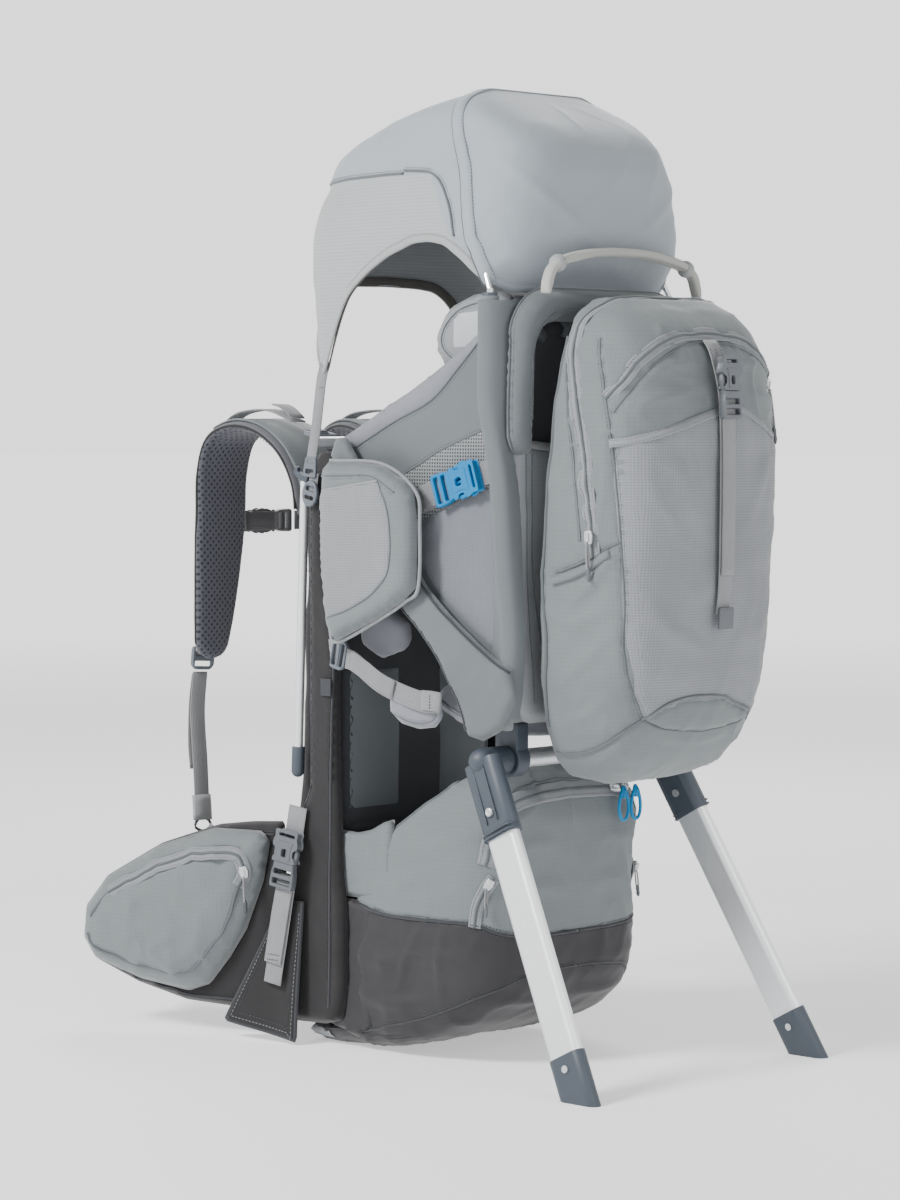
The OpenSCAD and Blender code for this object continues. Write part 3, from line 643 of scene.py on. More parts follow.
# The floor brightens away from the object, so that it meets the backdrop without an edge
floor_tree = floor_mat.mat.node_tree
reach = floor_tree.nodes.new("ShaderNodeVectorMath")
reach.operation = "LENGTH"
floor_tree.links.new(floor_mat.add("TexCoord").outputs["Object"], reach.inputs[0])
glow = floor_tree.nodes.new("ShaderNodeMapRange")
for socket, value in zip(glow.inputs[1:5], FLOOR_GLOW):
    socket.default_value = value
floor_tree.links.new(reach.outputs["Value"], glow.inputs["Value"])
floor_tree.links.new(glow.outputs["Result"], floor_mat.bsdf.inputs["Emission Strength"])
corners = [(-FLOOR_HALF, -FLOOR_HALF, 0), (FLOOR_HALF, -FLOOR_HALF, 0), (FLOOR_HALF, FLOOR_HALF, 0),
           (-FLOOR_HALF, FLOOR_HALF, 0)]
floor = mesh("floor", corners, [(0, 1, 2, 3)], floor_mat.mat, None)


# ---------------------------------------------------------------- padded shapes from an outline

PLANES = {"side": (1, 2, 0), "rear": (0, 2, 1), "top": (0, 1, 2)}
CAST = 600  # How far outside the object a ray starts


def outline_points(outline, step=5):
    """The outline with points a step apart."""
    pts = [tuple(p) + (0,) for p in outline]
    return even(np.vstack([pts, pts[:1]]), step)[:-1, :2]


def fill(outline, step=5):
    """Triangles over an outline, with a regular field of points inside it, and each point's depth inside."""
    n = len(outline)
    lo, hi = outline.min(0), outline.max(0)
    gx, gy = np.meshgrid(np.arange(lo[0] + step / 2, hi[0], step), np.arange(lo[1] + step / 2, hi[1], step))
    gx[1::2] += step / 2
    grid = np.column_stack([gx.ravel(), gy.ravel()])
    a, b = outline, np.roll(outline, -1, axis=0)
    cross = ((a[:, 1] > grid[:, None, 1]) != (b[:, 1] > grid[:, None, 1])) & (
        grid[:, None, 0] < (b[:, 0] - a[:, 0]) * (grid[:, None, 1] - a[:, 1])
        / np.where(b[:, 1] == a[:, 1], 1e-9, b[:, 1] - a[:, 1]) + a[:, 0])
    grid = grid[cross.sum(1) % 2 == 1]
    d = depth_inside(grid, outline)
    grid = grid[d > step * 0.6]
    verts = np.vstack([outline, grid])
    out = delaunay_2d_cdt([Vector(v) for v in verts], [], [list(range(n))], 1, 1e-5)
    pts = arr(out[0])
    tris = []
    for f in out[2]:
        p, q, r = pts[f[0]], pts[f[1]], pts[f[2]]
        turn = (q[0] - p[0]) * (r[1] - p[1]) - (q[1] - p[1]) * (r[0] - p[0])
        tris.append(list(f) if turn > 0 else list(f)[::-1])
    return pts, tris, depth_inside(pts, outline), n


def depth_inside(points, outline):
    """Distance from each point to the nearest edge of the outline."""
    a, b = outline, np.roll(outline, -1, axis=0)
    ab = b - a
    ap = points[:, None, :] - a[None]
    t = np.clip((ap * ab).sum(2) / np.maximum((ab * ab).sum(1), 1e-9), 0, 1)
    return np.linalg.norm(ap - t[..., None] * ab, axis=2).min(1)


def crown(d, r):
    """Height of a quarter-round edge of radius r at distance d in from it, from 0 to 1."""
    k = 1 - np.clip(d / r, 0, 1)
    return np.sqrt(np.maximum(1 - k * k, 0))


def press(points, lines, depth, width):
    """How far each 3-D point is pulled in by the seams near it, from 0 to depth."""
    out = np.zeros(len(points))
    for line in lines:
        p = even(curve(line, 5), 4)
        d = np.linalg.norm(points[:, None] - p[None], axis=2).min(1)
        out = np.maximum(out, depth * np.exp(-(d / width) ** 2))
    return out


def creases(points, scale, seed, stretch=(1, 1, 0.55)):
    """Thin raised folds, 0 to 1, wandering over the cloth about scale millimetres apart."""
    q = points * arr(stretch)
    n = bump(q + bump(q, scale * 1.6, seed + 2)[:, None] * scale * 0.35, scale, seed)
    return np.maximum(1 - np.abs(n) * 1.6, 0) ** 7 * np.clip(0.45 + bump(points, scale * 2.1, seed + 9) * 1.5, 0, 1)


def puckers(points, lines, height, reach):
    """Small gathers across each seam, like those that sewing pulls into thin cloth."""
    out = np.zeros(len(points))
    for m, line in enumerate(lines):
        p = even(curve(line, 5), 2.5)
        d = np.linalg.norm(points[:, None] - p[None], axis=2)
        k, near = d.argmin(1) * 2.5, d.min(1)
        wave = np.sin(k * 2 * math.pi / 17 + 2.4 * np.sin(k / 31 + m))
        out += height * wave * np.exp(-((near - 4) / reach) ** 2) * np.clip(near / 3, 0, 1)
    return out


def pillow(name, outline, plane, low, high, mat, body, s=1, round_low=12, round_high=12, step=5.5,
           wave=0.6, scale=45, seed=1.0, bend=None, **kw):
    """A closed padded piece: an outline in a plane, between two depths, rounded towards its edge."""
    i, j, k = PLANES[plane]
    line = outline_points(outline, step)
    pts, tris, depth, n = fill(line, step)
    mid = low + (high - low) * (round_low / (round_low + round_high) if round_low + round_high else 0.5)
    sheets = []
    for end, r in ((high, round_high), (low, round_low)):
        c = crown(depth, max(r, 0.1))
        p = np.zeros((len(pts), 3))
        p[:, i], p[:, j] = pts[:, 0], pts[:, 1]
        p[:, k] = mid + (end - mid) * c
        w = bump(p, scale, seed) * wave + bump(p, scale * 0.37, seed + 3) * wave * 0.45
        w = w + creases(p, scale * 0.75, seed, (1, 1, 0.7)) * wave * 1.5
        p[:, k] += (w - wave) * c * (1 if end > mid else -1)
        sheets.append(p)
    flip = 1 if plane in ("side", "top") else -1
    top = [t[::flip] for t in tris]
    m = len(pts)
    under = [[x + m for x in t[::-flip]] for t in tris]
    if high < low:
        top, under = [t[::-1] for t in top], [t[::-1] for t in under]
    # Both sheets share the points of the outline
    under = [[x - m if x < m + n else x for x in t] for t in under]
    keep = sorted({x for t in top + under for x in t})
    index = {x: q for q, x in enumerate(keep)}
    faces = [[index[x] for x in t] for t in top + under]
    verts = np.vstack(sheets)[keep]
    if bend:
        verts = bend(verts)
    obj = mesh(name, verts, faces, mat, body, s, **kw)
    merge(obj)
    return obj


def panel(name, surf, outline, plane, mat, body, s=1, lift=1.0, puff=0.0, edge=14, ray=None, step=5, wave=0.3,
          seed=2.0, **kw):
    """A piece of cloth laid on a surface: its outline in a plane, cast on the surface along a ray."""
    i, j, _ = PLANES[plane]
    line = outline_points(outline, step)
    pts, tris, depth, n = fill(line, step)
    verts, normals = [], []
    ray = arr(ray)
    for q in pts:
        start = np.zeros(3)
        start[i], start[j] = q
        start = start - ray * CAST
        hit = surf.tree.ray_cast(Vector(start), Vector(ray), 2 * CAST)
        if hit[0] is None:
            hit = surf.tree.find_nearest(Vector(start + ray * CAST))
        u = arr(hit[1])
        verts.append(arr(hit[0]))
        normals.append(u if u @ ray < 0 else -u)
    verts, normals = arr(verts), arr(normals)
    rise = lift + puff * crown(depth, edge) + wave * bump(verts, 24, seed) * np.clip(depth / 10, 0, 1)
    rise[:n] = np.minimum(rise[:n], lift * 0.2)
    verts = verts + normals * rise[:, None]
    p, q, r = verts[tris[0][0]], verts[tris[0][1]], verts[tris[0][2]]
    if np.cross(q - p, r - p) @ ray > 0:
        tris = [t[::-1] for t in tris]
    return mesh(name, verts, tris, mat, body, s, **kw)


# ---------------------------------------------------------------- moulded plates, buckles and locks


def on_strap(a, b, out):
    """Frame with x from a to b and z towards out, as four columns."""
    x = unit(arr(b) - arr(a))
    z = unit(arr(out) - (arr(out) @ x) * x)
    return np.column_stack([x, np.cross(z, x), z, arr(a)])


def plate(name, outlines, t, place, mat, body, s=1, round_edge=0.8, z=0.0, hides=(), slot=None):
    """A flat moulding with holes: outlines in its own x and y, t thick from z upwards."""
    cu = bpy.data.curves.new(name, "CURVE")
    cu.dimensions = "2D"
    cu.fill_mode = "BOTH"
    cu.bevel_depth, cu.bevel_resolution = round_edge, 2
    cu.extrude = max(t / 2 - round_edge, 0.05)
    cu.offset = -round_edge
    for line in outlines:
        sp = cu.splines.new("POLY")
        sp.points.add(len(line) - 1)
        for p, q in zip(sp.points, line):
            p.co = (q[0], q[1], 0, 1)
        sp.use_cyclic_u = True
    temp = bpy.data.objects.new(name + "_temp", cu)
    bpy.context.scene.collection.objects.link(temp)
    me = bpy.data.meshes.new_from_object(temp)
    v = arr([tuple(p.co) for p in me.vertices])
    f = [list(p.vertices) for p in me.polygons]
    bpy.data.objects.remove(temp)
    bpy.data.meshes.remove(me)
    v[:, 2] += t / 2 + z
    local = np.column_stack([v, np.ones(len(v))])
    obj = mesh(name, local @ place.T, f, mat, body, s, hides=hides, slot=slot)
    merge(obj)
    auto_smooth(obj)
    return obj


MERGE_DISTANCE = 1e-5
CREASE_ANGLE = math.radians(35)


def merge(obj):
    """Joins points that lie on each other and turns every face outwards."""
    bm = bmesh.new()
    bm.from_mesh(obj.data)
    bmesh.ops.remove_doubles(bm, verts=bm.verts, dist=MERGE_DISTANCE)
    bmesh.ops.recalc_face_normals(bm, faces=bm.faces)
    bm.to_mesh(obj.data)
    bm.free()


def auto_smooth(obj):
    """Smooth shading with crisp edges where faces meet at more than CREASE_ANGLE."""
    bm = bmesh.new()
    bm.from_mesh(obj.data)
    for f in bm.faces:
        f.smooth = True
    for e in bm.edges:
        e.smooth = not (len(e.link_faces) == 2 and e.calc_face_angle(0) > CREASE_ANGLE)
    bm.to_mesh(obj.data)
    bm.free()


def rounded(line, r=1.2):
    """The outline with each corner rounded off by four points."""
    p = arr(line)
    out = []
    for k in range(len(p)):
        a, b, c = p[k - 1], p[k], p[(k + 1) % len(p)]
        q = min(r, np.linalg.norm(a - b) * 0.45, np.linalg.norm(c - b) * 0.45)
        start, end = b + unit(a - b) * q, b + unit(c - b) * q
        for t in np.linspace(0, 1, 4):
            out.append((1 - t) ** 2 * start + 2 * t * (1 - t) * b + t * t * end)
    return out


def box_line(x0, x1, y0, y1, r=1.0):
    """A rectangle with rounded corners."""
    return rounded([(x0, y0), (x1, y0), (x1, y1), (x0, y1)], r)


def mirrored_y(half):
    """An outline given for its half above the x axis, closed by its mirror image."""
    return list(half) + [(x, -y) for x, y in reversed(half)]


def socket_half(name, place, w, mat, body, s=1, hides=(), slot=None):
    """Hollow half of a side-release buckle, with its side notches, window and webbing bar."""
    h = w / 2
    outer = mirrored_y([(0.5, h - 6), (0.5, h - 2.4), (3.2, h - 3.4), (5, h - 6.6), (12.6, h - 7.0), (15.6, h - 1.0),
                        (20, h - 1.4), (24, h - 3.4), (30, h - 2.6)])
    half = (h - 7.2) * 0.44
    window = mirrored_y([(4.5, half * 0.7), (8, half), (11.5, half * 0.9), (13, half * 0.35)])
    bar = [(24.8, 6 - h), (27.6, 6 - h), (27.6, h - 6), (24.8, h - 6)]
    shell = plate(name, [rounded(outer, 1.6), rounded(window, 1.0), rounded(bar, 1.2)], 8.6, place, mat, body, s,
                  round_edge=1.5, z=0.2, hides=hides, slot=slot)
    rib = mirrored_y([(1.2, h - 8), (13, h - 8.4), (20, h - 6)])
    plate(name + "_rib", [rounded(rib, 1.2), rounded(window, 1.0)], 0.9, place, mat, body, s, round_edge=0.4, z=8.5)
    return shell


def plug_half(name, place, w, mat, body, s=1, hides=(), slot=None):
    """Pronged half: an adjuster frame with two slots, sprung arms that fill the notches, and a guide."""
    h = w / 2
    outer = mirrored_y([(-27, h - 2), (-24, h - 1), (-12, h - 1.4), (-4, h - 3.4), (-1, h - 3)])
    slots = [box_line(-23.4, -17.8, 4.2 - h, h - 4.2, 1.4), box_line(-13.6, -8.4, 4.6 - h, h - 4.6, 1.4)]
    base = plate(name, [rounded(outer, 2.0)] + slots, 7.4, place, mat, body, s, round_edge=1.3, z=0.8,
                 hides=hides, slot=slot)
    for k, d in (("a", 1), ("b", -1)):
        arm = [(-2, d * (h - 7.4)), (3, d * (h - 5.8)), (8, d * (h - 4.8)), (13, d * (h - 4.3)), (15, d * (h - 3.0)),
               (12.5, d * (h - 0.9)), (7.5, d * (h - 0.2)), (3.5, d * (h - 1.6)), (-2, d * (h - 3.4))]
        plate(f"{name}_arm_{k}", [rounded(arm[::d], 1.4)], 4.6, place, mat, body, s, round_edge=1.0, z=2.2)
    guide = mirrored_y([(-2, 1.6), (13.5, 1.4), (15, 0.6)])
    plate(f"{name}_guide", [rounded(guide, 0.5)], 2.6, place, mat, body, s, round_edge=0.5, z=3.2)
    return base


def lock_plate(name, place, w, long, t, mat, body, s=1, hides=()):
    """Adjuster with three bars and a lifted thumb lip."""
    h = w / 2
    outer = mirrored_y([(-long / 2, h - 1.5), (-long / 2 + 3, h), (long / 2 - 5, h), (long / 2, h - 5)])
    slots = [box_line(-long * 0.41, -long * 0.13, 3.5 - h, h - 3.5, 1.2),
             box_line(long * 0.13, long * 0.41 - 1.5, 3.5 - h, h - 3.5, 1.2)]
    obj = plate(name, [rounded(outer, 2.0)] + slots, t, place, mat, body, s, round_edge=min(1.2, t * 0.3), hides=hides)
    plate(name + "_ridge", [box_line(-1.6, 1.6, 4 - h, h - 4, 0.8)], 1.0, place, mat, body, s, round_edge=0.4, z=t)
    return obj


def dress(node, mat, bevel=0.0):
    """A CAD node that shows as it is, with its finish and softened edges."""
    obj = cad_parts[node]
    obj.data.materials.clear()
    obj.data.materials.append(mat)
    if bevel:
        weld = obj.modifiers.new("weld", "WELD")
        weld.merge_threshold = MERGE_DISTANCE
        mod = obj.modifiers.new("edges", "BEVEL")
        mod.width, mod.segments = bevel / 1000, 2
        mod.limit_method, mod.angle_limit = "ANGLE", math.radians(38)
    return obj


CLOTH_PRESSURE, CLOTH_FRAMES, CLOTH_QUALITY = 4.0, 20, 5
CLOTH_STRETCH, CLOTH_BEND = 22, 0.8


def settle(obj, cap, voxel=5.0):
    """Swells a closed pad as sewn cloth under pressure, then keeps the result as its mesh."""
    mod = obj.modifiers.new("remesh", "REMESH")
    mod.mode, mod.voxel_size = "VOXEL", voxel / 1000
    dg = bpy.context.evaluated_depsgraph_get()
    me = bpy.data.meshes.new_from_object(obj.evaluated_get(dg))
    work = bpy.data.objects.new(obj.name + "_work", me)
    bpy.context.scene.collection.objects.link(work)
    before = arr([tuple(v.co) for v in me.vertices])
    cloth = work.modifiers.new("cloth", "CLOTH")
    c = cloth.settings
    c.use_pressure, c.uniform_pressure_force = True, CLOTH_PRESSURE
    c.effector_weights.gravity = 0
    c.quality = CLOTH_QUALITY
    c.tension_stiffness = c.compression_stiffness = CLOTH_STRETCH
    c.bending_stiffness = CLOTH_BEND
    scene = bpy.context.scene
    for k in range(1, CLOTH_FRAMES + 1):
        scene.frame_set(k)
    after_me = bpy.data.meshes.new_from_object(work.evaluated_get(bpy.context.evaluated_depsgraph_get()))
    after = arr([tuple(v.co) for v in after_me.vertices])
    scene.frame_set(1)
    move = after - before
    far = np.linalg.norm(move, axis=1)
    move *= np.minimum(1, cap / 1000 / np.maximum(far, 1e-9))[:, None]
    mats = list(obj.data.materials)
    obj.modifiers.clear()
    obj.data = after_me
    for v, p in zip(after_me.vertices, before + move):
        v.co = p
    after_me.materials.clear()
    for m in mats:
        after_me.materials.append(m)
    after_me.shade_smooth()
    bpy.data.objects.remove(work)
    fine = obj.modifiers.new("fine", "SUBSURF")
    fine.levels = fine.render_levels = 1
    return obj


# ---------------------------------------------------------------- sunshade

# Tables of millimetres against height: half width, rear edge, front edge, widest line and roundness. SHADE_EDGE gives
# the lower edge's height against the angle round the canopy, from the rear to the front.
SHADE_TOP = 936
SHADE_W = [[655, 130], [745, 138], [800, 137], [849, 125], [862, 122], [880, 118], [895, 114], [905, 111],
           [912, 108], [919, 102], [925, 95], [930, 86], [934, 74], [936, 58]]
SHADE_REAR = [[655, -180], [746, -184], [754, -190], [770, -206], [800, -212], [855, -212], [880, -204],
              [895, -190], [905, -175], [915, -156], [925, -136], [933, -122], [936, -117]]
SHADE_FRONT = [[655, 85], [745, 85], [800, 105], [849, 128], [862, 130], [880, 122], [895, 95], [905, 60],
               [915, 12], [925, -50], [933, -92], [936, -101]]
SHADE_MID = [[880, -90], [915, -100], [936, -109]]
SHADE_ROUND = [[745, 6], [800, 4], [849, 2.2], [905, 2], [936, 3.5]]
SHADE_EDGE = [[0, 741], [50, 741], [60, 752], [67, 770], [76, 786], [85, 790], [94, 789], [108, 777], [117, 763],
              [124, 746], [128.5, 727], [134, 694], [140, 657], [146, 694], [152, 735], [158, 752], [166, 755],
              [180, 756]]
SHADE_RIDGES = [([(118, -178, 862), (95, -206, 835), (29, -212, 791), (-30, -212, 752)], 3.2, 6),
                ([(122, -150, 900), (119, -119, 875), (125, -92, 848), (133, -58, 808)], 2.6, 7),
                ([(128, -60, 800), (131, -20, 762), (128, 10, 730)], 1.6, 6)]
DENSE = {}


def look(table, h, span=0.0):
    """A table's value at h, averaged over a span either side so that its corners round off."""
    key = (id(table), span)
    if key not in DENSE:
        t = arr(table)
        x = np.arange(t[0, 0], t[-1, 0] + 0.25, 0.25)
        steps = np.linspace(-span, span, 7) if span else [0.0]
        DENSE[key] = t[0, 0], (sum(np.interp(x + d, t[:, 0], t[:, 1]) for d in steps) / len(steps)).tolist()
    low, values = DENSE[key]
    k = max(0.0, min((h - low) * 4, len(values) - 1.001))
    i = int(k)
    return values[i] + (values[i + 1] - values[i]) * (k - i)


def shade_point(angle, z, inset=0.0):
    """A point of the canopy at an angle and a height, drawn in by inset."""
    h = min(z + inset, SHADE_TOP)
    mid, w = look(SHADE_MID, h, 3), look(SHADE_W, h, 5) - inset
    c, s = math.cos(angle), math.sin(angle)
    ahead = s > 0
    span = 5 if h < 925 else 1
    d = (look(SHADE_FRONT, h, span) - mid if ahead else mid - look(SHADE_REAR, h, span)) - inset
    p = look(SHADE_ROUND, h, 5) if ahead else 4.4
    r = ((abs(c) / w) ** p + (abs(s) / d) ** p) ** (-1 / p)
    return arr([r * c, mid + r * s, z])


def shade_low(angle):
    """Height of the canopy's lower edge at an angle."""
    a = math.degrees(angle) % 360
    a = (a + 90) % 360 if a < 90 or a > 270 else 270 - a
    return look(SHADE_EDGE, a, 2.5)


def ridge(points, line, height, width):
    """Height added along a crease line, fading at its ends."""
    p = even(curve(line, 8), 3)
    d = np.linalg.norm(points[:, None] - p[None], axis=2)
    near, k = d.min(1), d.argmin(1) / max(len(p) - 1, 1)
    return height * np.exp(-(near / width) ** 2) * np.sin(np.pi * np.clip(k * 0.92 + 0.04, 0, 1)) ** 0.6


def build_canopy():
    """The canopy's cloth as one sheet: a superellipse at each height, with its creases and folds."""
    n, rows = 240, 64
    sheet = []
    for j in range(rows + 1):
        f = 1 - (1 - j / rows) ** 1.6
        row = []
        for i in range(n):
            a = i * 2 * math.pi / n
            low = shade_low(a)
            row.append(shade_point(a, low + (935.6 - low) * f))
        sheet.append(row)
    v, faces = lattice(sheet, loop=True)
    faces.append(tuple(rows * n + i for i in range(n)))
    centre = arr([0, -90, 820])
    out = unit((v - centre) * [1, 1, 0.6])
    push = np.zeros(len(v))
    for s in (1, -1):
        for line, height, width in SHADE_RIDGES:
            push += ridge(v, mirror_x(line, s), height, width)
        for k, x in enumerate((20, 48, 74, 98)):
            push += ridge(v, [(s * x, -198, 742), (s * (x - 4 + 3 * k % 5), -206, 772)], 1.5, 5)
        for k, z in enumerate((752, 776, 815, 850)):
            push -= ridge(v, [(s * 128, -172, z), (s * 122, -196, z + 6 - 4 * (k % 2))], 1.6, 5)
        for k, y in enumerate((-150, -100, -50, 0)):
            push += ridge(v, [(s * 131, y, shade_low(math.atan2(y + 90, s * 131)) + 2),
                              (s * 130, y + 6, shade_low(math.atan2(y + 90, s * 131)) + 26)], 0.9, 5)
    push += bump(v, 60, 4) * 1.3 + bump(v, 22, 5) * 0.4
    low = np.clip((855 - v[:, 2]) / 60, 0, 1) * np.clip(-(v[:, 1] + 120) / 40, 0, 1)
    push += creases(v, 60, 2.3, (1, 1, 0.8)) * 1.6 + creases(v, 26, 6.2, (0.8, 0.8, 0.6)) * 1.8 * low
    top = np.clip((935 - v[:, 2]) / 20, 0.1, 1)
    v = v + out * (push * top)[:, None]
    v[:, 2] = np.minimum(v[:, 2], 940)
    canopy = mesh("sunshade_canopy_cloth", v, faces, CANOPY_TWO, "sunshade", hides=["sunshade_canopy"],
                  slot="shade_fabric")
    thicken(canopy, 0.7)
    return canopy


def canopy_cloth():
    """Ripstop, with a light mesh front below a curved seam on each side."""
    n = Nodes("canopy_cloth", 0.62, sheen=0.3, spec=0.35)
    _, y, z = n.xyz()
    u, v = n.flat()
    base, pale = rgb("#9aa2a9"), rgb("#a7a9ab")
    thread = n.math("MULTIPLY", n.wave(u, 1.1), n.wave(v, 1.1))
    lines = n.math("MAXIMUM", n.line(u, 3.8, 0.14), n.line(v, 3.8, 0.14))
    rip = n.mix(n.math("MULTIPLY", lines, 0.16), base, shade(base, 0.72))
    rip = n.mix(n.math("MULTIPLY", thread, 0.12), rip, shade(base, 1.2))
    stripe, fine = n.wave(z, 3.4), n.wave(u, 1.4)
    net = n.mix(n.math("MULTIPLY", stripe, 0.30), shade(pale, 1.04), shade(pale, 0.62))
    net = n.mix(n.math("MULTIPLY", fine, 0.10), net, shade(pale, 0.7))
    lift = n.math("MULTIPLY", n.math("SUBTRACT", 856.0, z), 0.46)
    bow = n.math("MULTIPLY", n.math("MULTIPLY", lift, lift), 0.010)
    edge = n.math("SUBTRACT", -93.0, n.math("ADD", lift, bow))
    front = n.math("MULTIPLY", n.math("LESS_THAN", z, 854.0), n.math("GREATER_THAN", y, edge))
    n.colour(n.mix(front, rip, net))
    h = n.math("ADD", n.math("MULTIPLY", thread, 0.6), n.math("MULTIPLY", n.math("MULTIPLY", stripe, front), 0.9))
    n.relief(h, 0.0003, 0.3)
    return n.mat


CANOPY_TWO = canopy_cloth()
canopy = build_canopy()
shade_surf = Surface(canopy)
hoop = [[130, -175, 745], [126, -163, 768], [120.5, -152, 800], [112, -136, 856], [102.5, -118, 897],
        [99, -112, 914], [93, -110, 927], [78, -109, 936], [40, -109, 938], [0, -109, 938]]
hoop_line = curve(both_sides(hoop), 5)
sleeve_path, sleeve_nor = shade_surf.lay(hoop_line, 0.2, n=0, step=4)
band("sunshade_sleeve", sleeve_path, 13, 3.6, CANOPY, "sunshade", normals=sleeve_nor, flat=True)
sleeve_across = unit(np.cross(sleeve_nor, tangents(sleeve_path)))
for k, d in enumerate((-6.4, 6.4)):
    stitches(f"sunshade_sleeve_stitch_{k}", sleeve_path + sleeve_across * d + sleeve_nor * 0.6, sleeve_nor,
             SEAM_DARK, "sunshade", pitch=3.6)
tube("sunshade_sleeve_seam", sleeve_path - sleeve_across * 7.2 + sleeve_nor * 0.3, 0.8, SEAM_DARK, "sunshade",
     flat=True, sides=6)
for tag, s in SIDES.items():
    line = [(s * 118, -55, 858), (s * 124, -93, 855), (s * 127, -110, 842), (s * 131, -126, 818), (s * 136, -136, 793)]
    seam(f"sunshade_side_seam_{tag}", shade_surf, line, SEAM_DARK, "sunshade", r=1.3, lift=0.6, thread=THREAD)
brow = [(s * x, y, 855) for s, x, y in ((1, 118, -55), (1, 109, 10), (1, 86, 70), (1, 50, 110), (1, 0, 128),
                                        (-1, 50, 110), (-1, 86, 70), (-1, 109, 10), (-1, 118, -55))]
seam("sunshade_brow_seam", shade_surf, brow, SEAM_DARK, "sunshade", r=1.3, lift=0.6, thread=THREAD)

edge_path = arr([shade_point(a, shade_low(a) + 3.2) for a in np.linspace(-math.pi / 2, 1.5 * math.pi, 260)])
edge_out = unit((edge_path - [0, -90, 0]) * [1, 1, 0])
for part, sel, mat in (("front", slice(44, 217), BINDING), ("rear", None, CANOPY)):
    ids = list(range(260))[sel] if sel else list(range(216, 260)) + list(range(1, 45))
    across = unit(np.cross(edge_out[ids], tangents(edge_path[ids])))
    band(f"sunshade_edge_{part}", edge_path[ids], 8.5, 2.6, mat, "sunshade", normals=edge_out[ids], flat=True)
    stitches(f"sunshade_edge_stitch_{part}", edge_path[ids] + across * 3.0 + edge_out[ids] * 1.3, edge_out[ids],
             THREAD, "sunshade")
# Binding inside the canopy's edge, painted dark: painted shade standing in for the shade under the canopy
inner = arr([shade_point(a, shade_low(a) + 4.5, 3.0) for a in np.linspace(-0.42 * math.pi, 1.42 * math.pi, 240)])
band("sunshade_edge_inside", inner, 9.5, 1.2, BINDING_PAINTED_SHADE, "sunshade",
     normals=unit((inner - [0, -90, 0]) * [1, 1, 0]), flat=True)

for node in ("sunshade_hoop", "sunshade_brim"):
    dress(node, STEEL)
for tag, s in SIDES.items():
    strap = [(123.4, 52.4, 675), (124.5, 56, 660), (126, 62, 612), (127.6, 68, 578)]
    band(f"sunshade_strap_{tag}", strap, 13, 1.8, WEB_PALE, "sunshade", side=(0, 1, 0), s=s)
    stitches(f"sunshade_strap_stitch_{tag}", [(125.6, 52, 652), (125.6, 62, 652)], (1, 0, 0), THREAD_DARK, "sunshade",
             s)
    grip = on_strap((126.9, 68, 572), (127.3, 69, 562), (1, 0, 0))
    plate(f"sunshade_buckle_{tag}", [rounded([(-12, -7), (2, -9), (8, -9), (8, 9), (2, 9), (-12, 7)], 2),
                                     box_line(-9, -6, -4, 4), box_line(0, 5, -5.5, 5.5)], 2.8, grip, LOCK,
          "sunshade", s, hides=["sunshade_straps"])

# ---------------------------------------------------------------- daypack

DAY_POINTS = 216
DAY = arr([[277, 42, -262, -216], [284, 66, -286, -208], [302, 86, -310, -203], [335, 100, -328, -201],
           [380, 109, -340, -201], [460, 113, -348, -201], [560, 114, -351, -213], [630, 112, -350, -222],
           [680, 107, -341, -229], [708, 98, -326, -233], [726, 84, -308, -236], [734, 62, -288, -240]])
DAY_TABLES = [DAY[:, [0, k]] for k in (1, 2, 3)]


def day_ring(z, q=1.0):
    """A ring of the daypack at a height, drawn in to a share q of its size."""
    w, back, front = [look(t, z, 7) for t in DAY_TABLES]
    mid = (back + front) / 2
    row = []
    for i in range(DAY_POINTS):
        a = 2 * math.pi * i / DAY_POINTS
        c, s = math.cos(a), math.sin(a)
        p, d = (6.0, front - mid) if s > 0 else (3.1, mid - back)
        r = ((abs(c) / w) ** p + (abs(s) / d) ** p) ** (-1 / p)
        row.append((q * r * c, mid + q * r * s, z))
    return row


def bag_mesh(name, rings, mat, body, lines=(), depth=2.4, width=4.5, ridges=(), soft=1.0, **kw):
    """A sewn bag from rings: pulled in along its seams, and creased where the cloth gathers."""
    v, f = lattice(rings, loop=True, caps=True)
    centre = v.mean(0)
    me = bpy.data.meshes.new("normals")
    me.from_pydata(v.tolist(), [], f)
    nor = arr([tuple(p.normal) for p in me.vertices])
    bpy.data.meshes.remove(me)
    if ((v - centre) * nor).sum() < 0:
        nor = -nor
        f = [q[::-1] for q in f]
    push = -press(v, lines, depth, width)
    for line, height, wide in ridges:
        push += ridge(v, line, height * 1.5, wide * 0.75)
    push += soft * (bump(v, 85, 3) * 2.2 + bump(v, 34, 9) * 1.1 - 2.0)
    push += soft * (creases(v, 46, 3.7) * 3.4 + creases(v, 24, 8.1, (0.7, 0.7, 1)) * 1.5)
    if lines:
        push += puckers(v, lines, 0.3 * soft, 9)
    obj = mesh(name, v + nor * push[:, None], f, mat, body, **kw)
    merge(obj)
    return obj


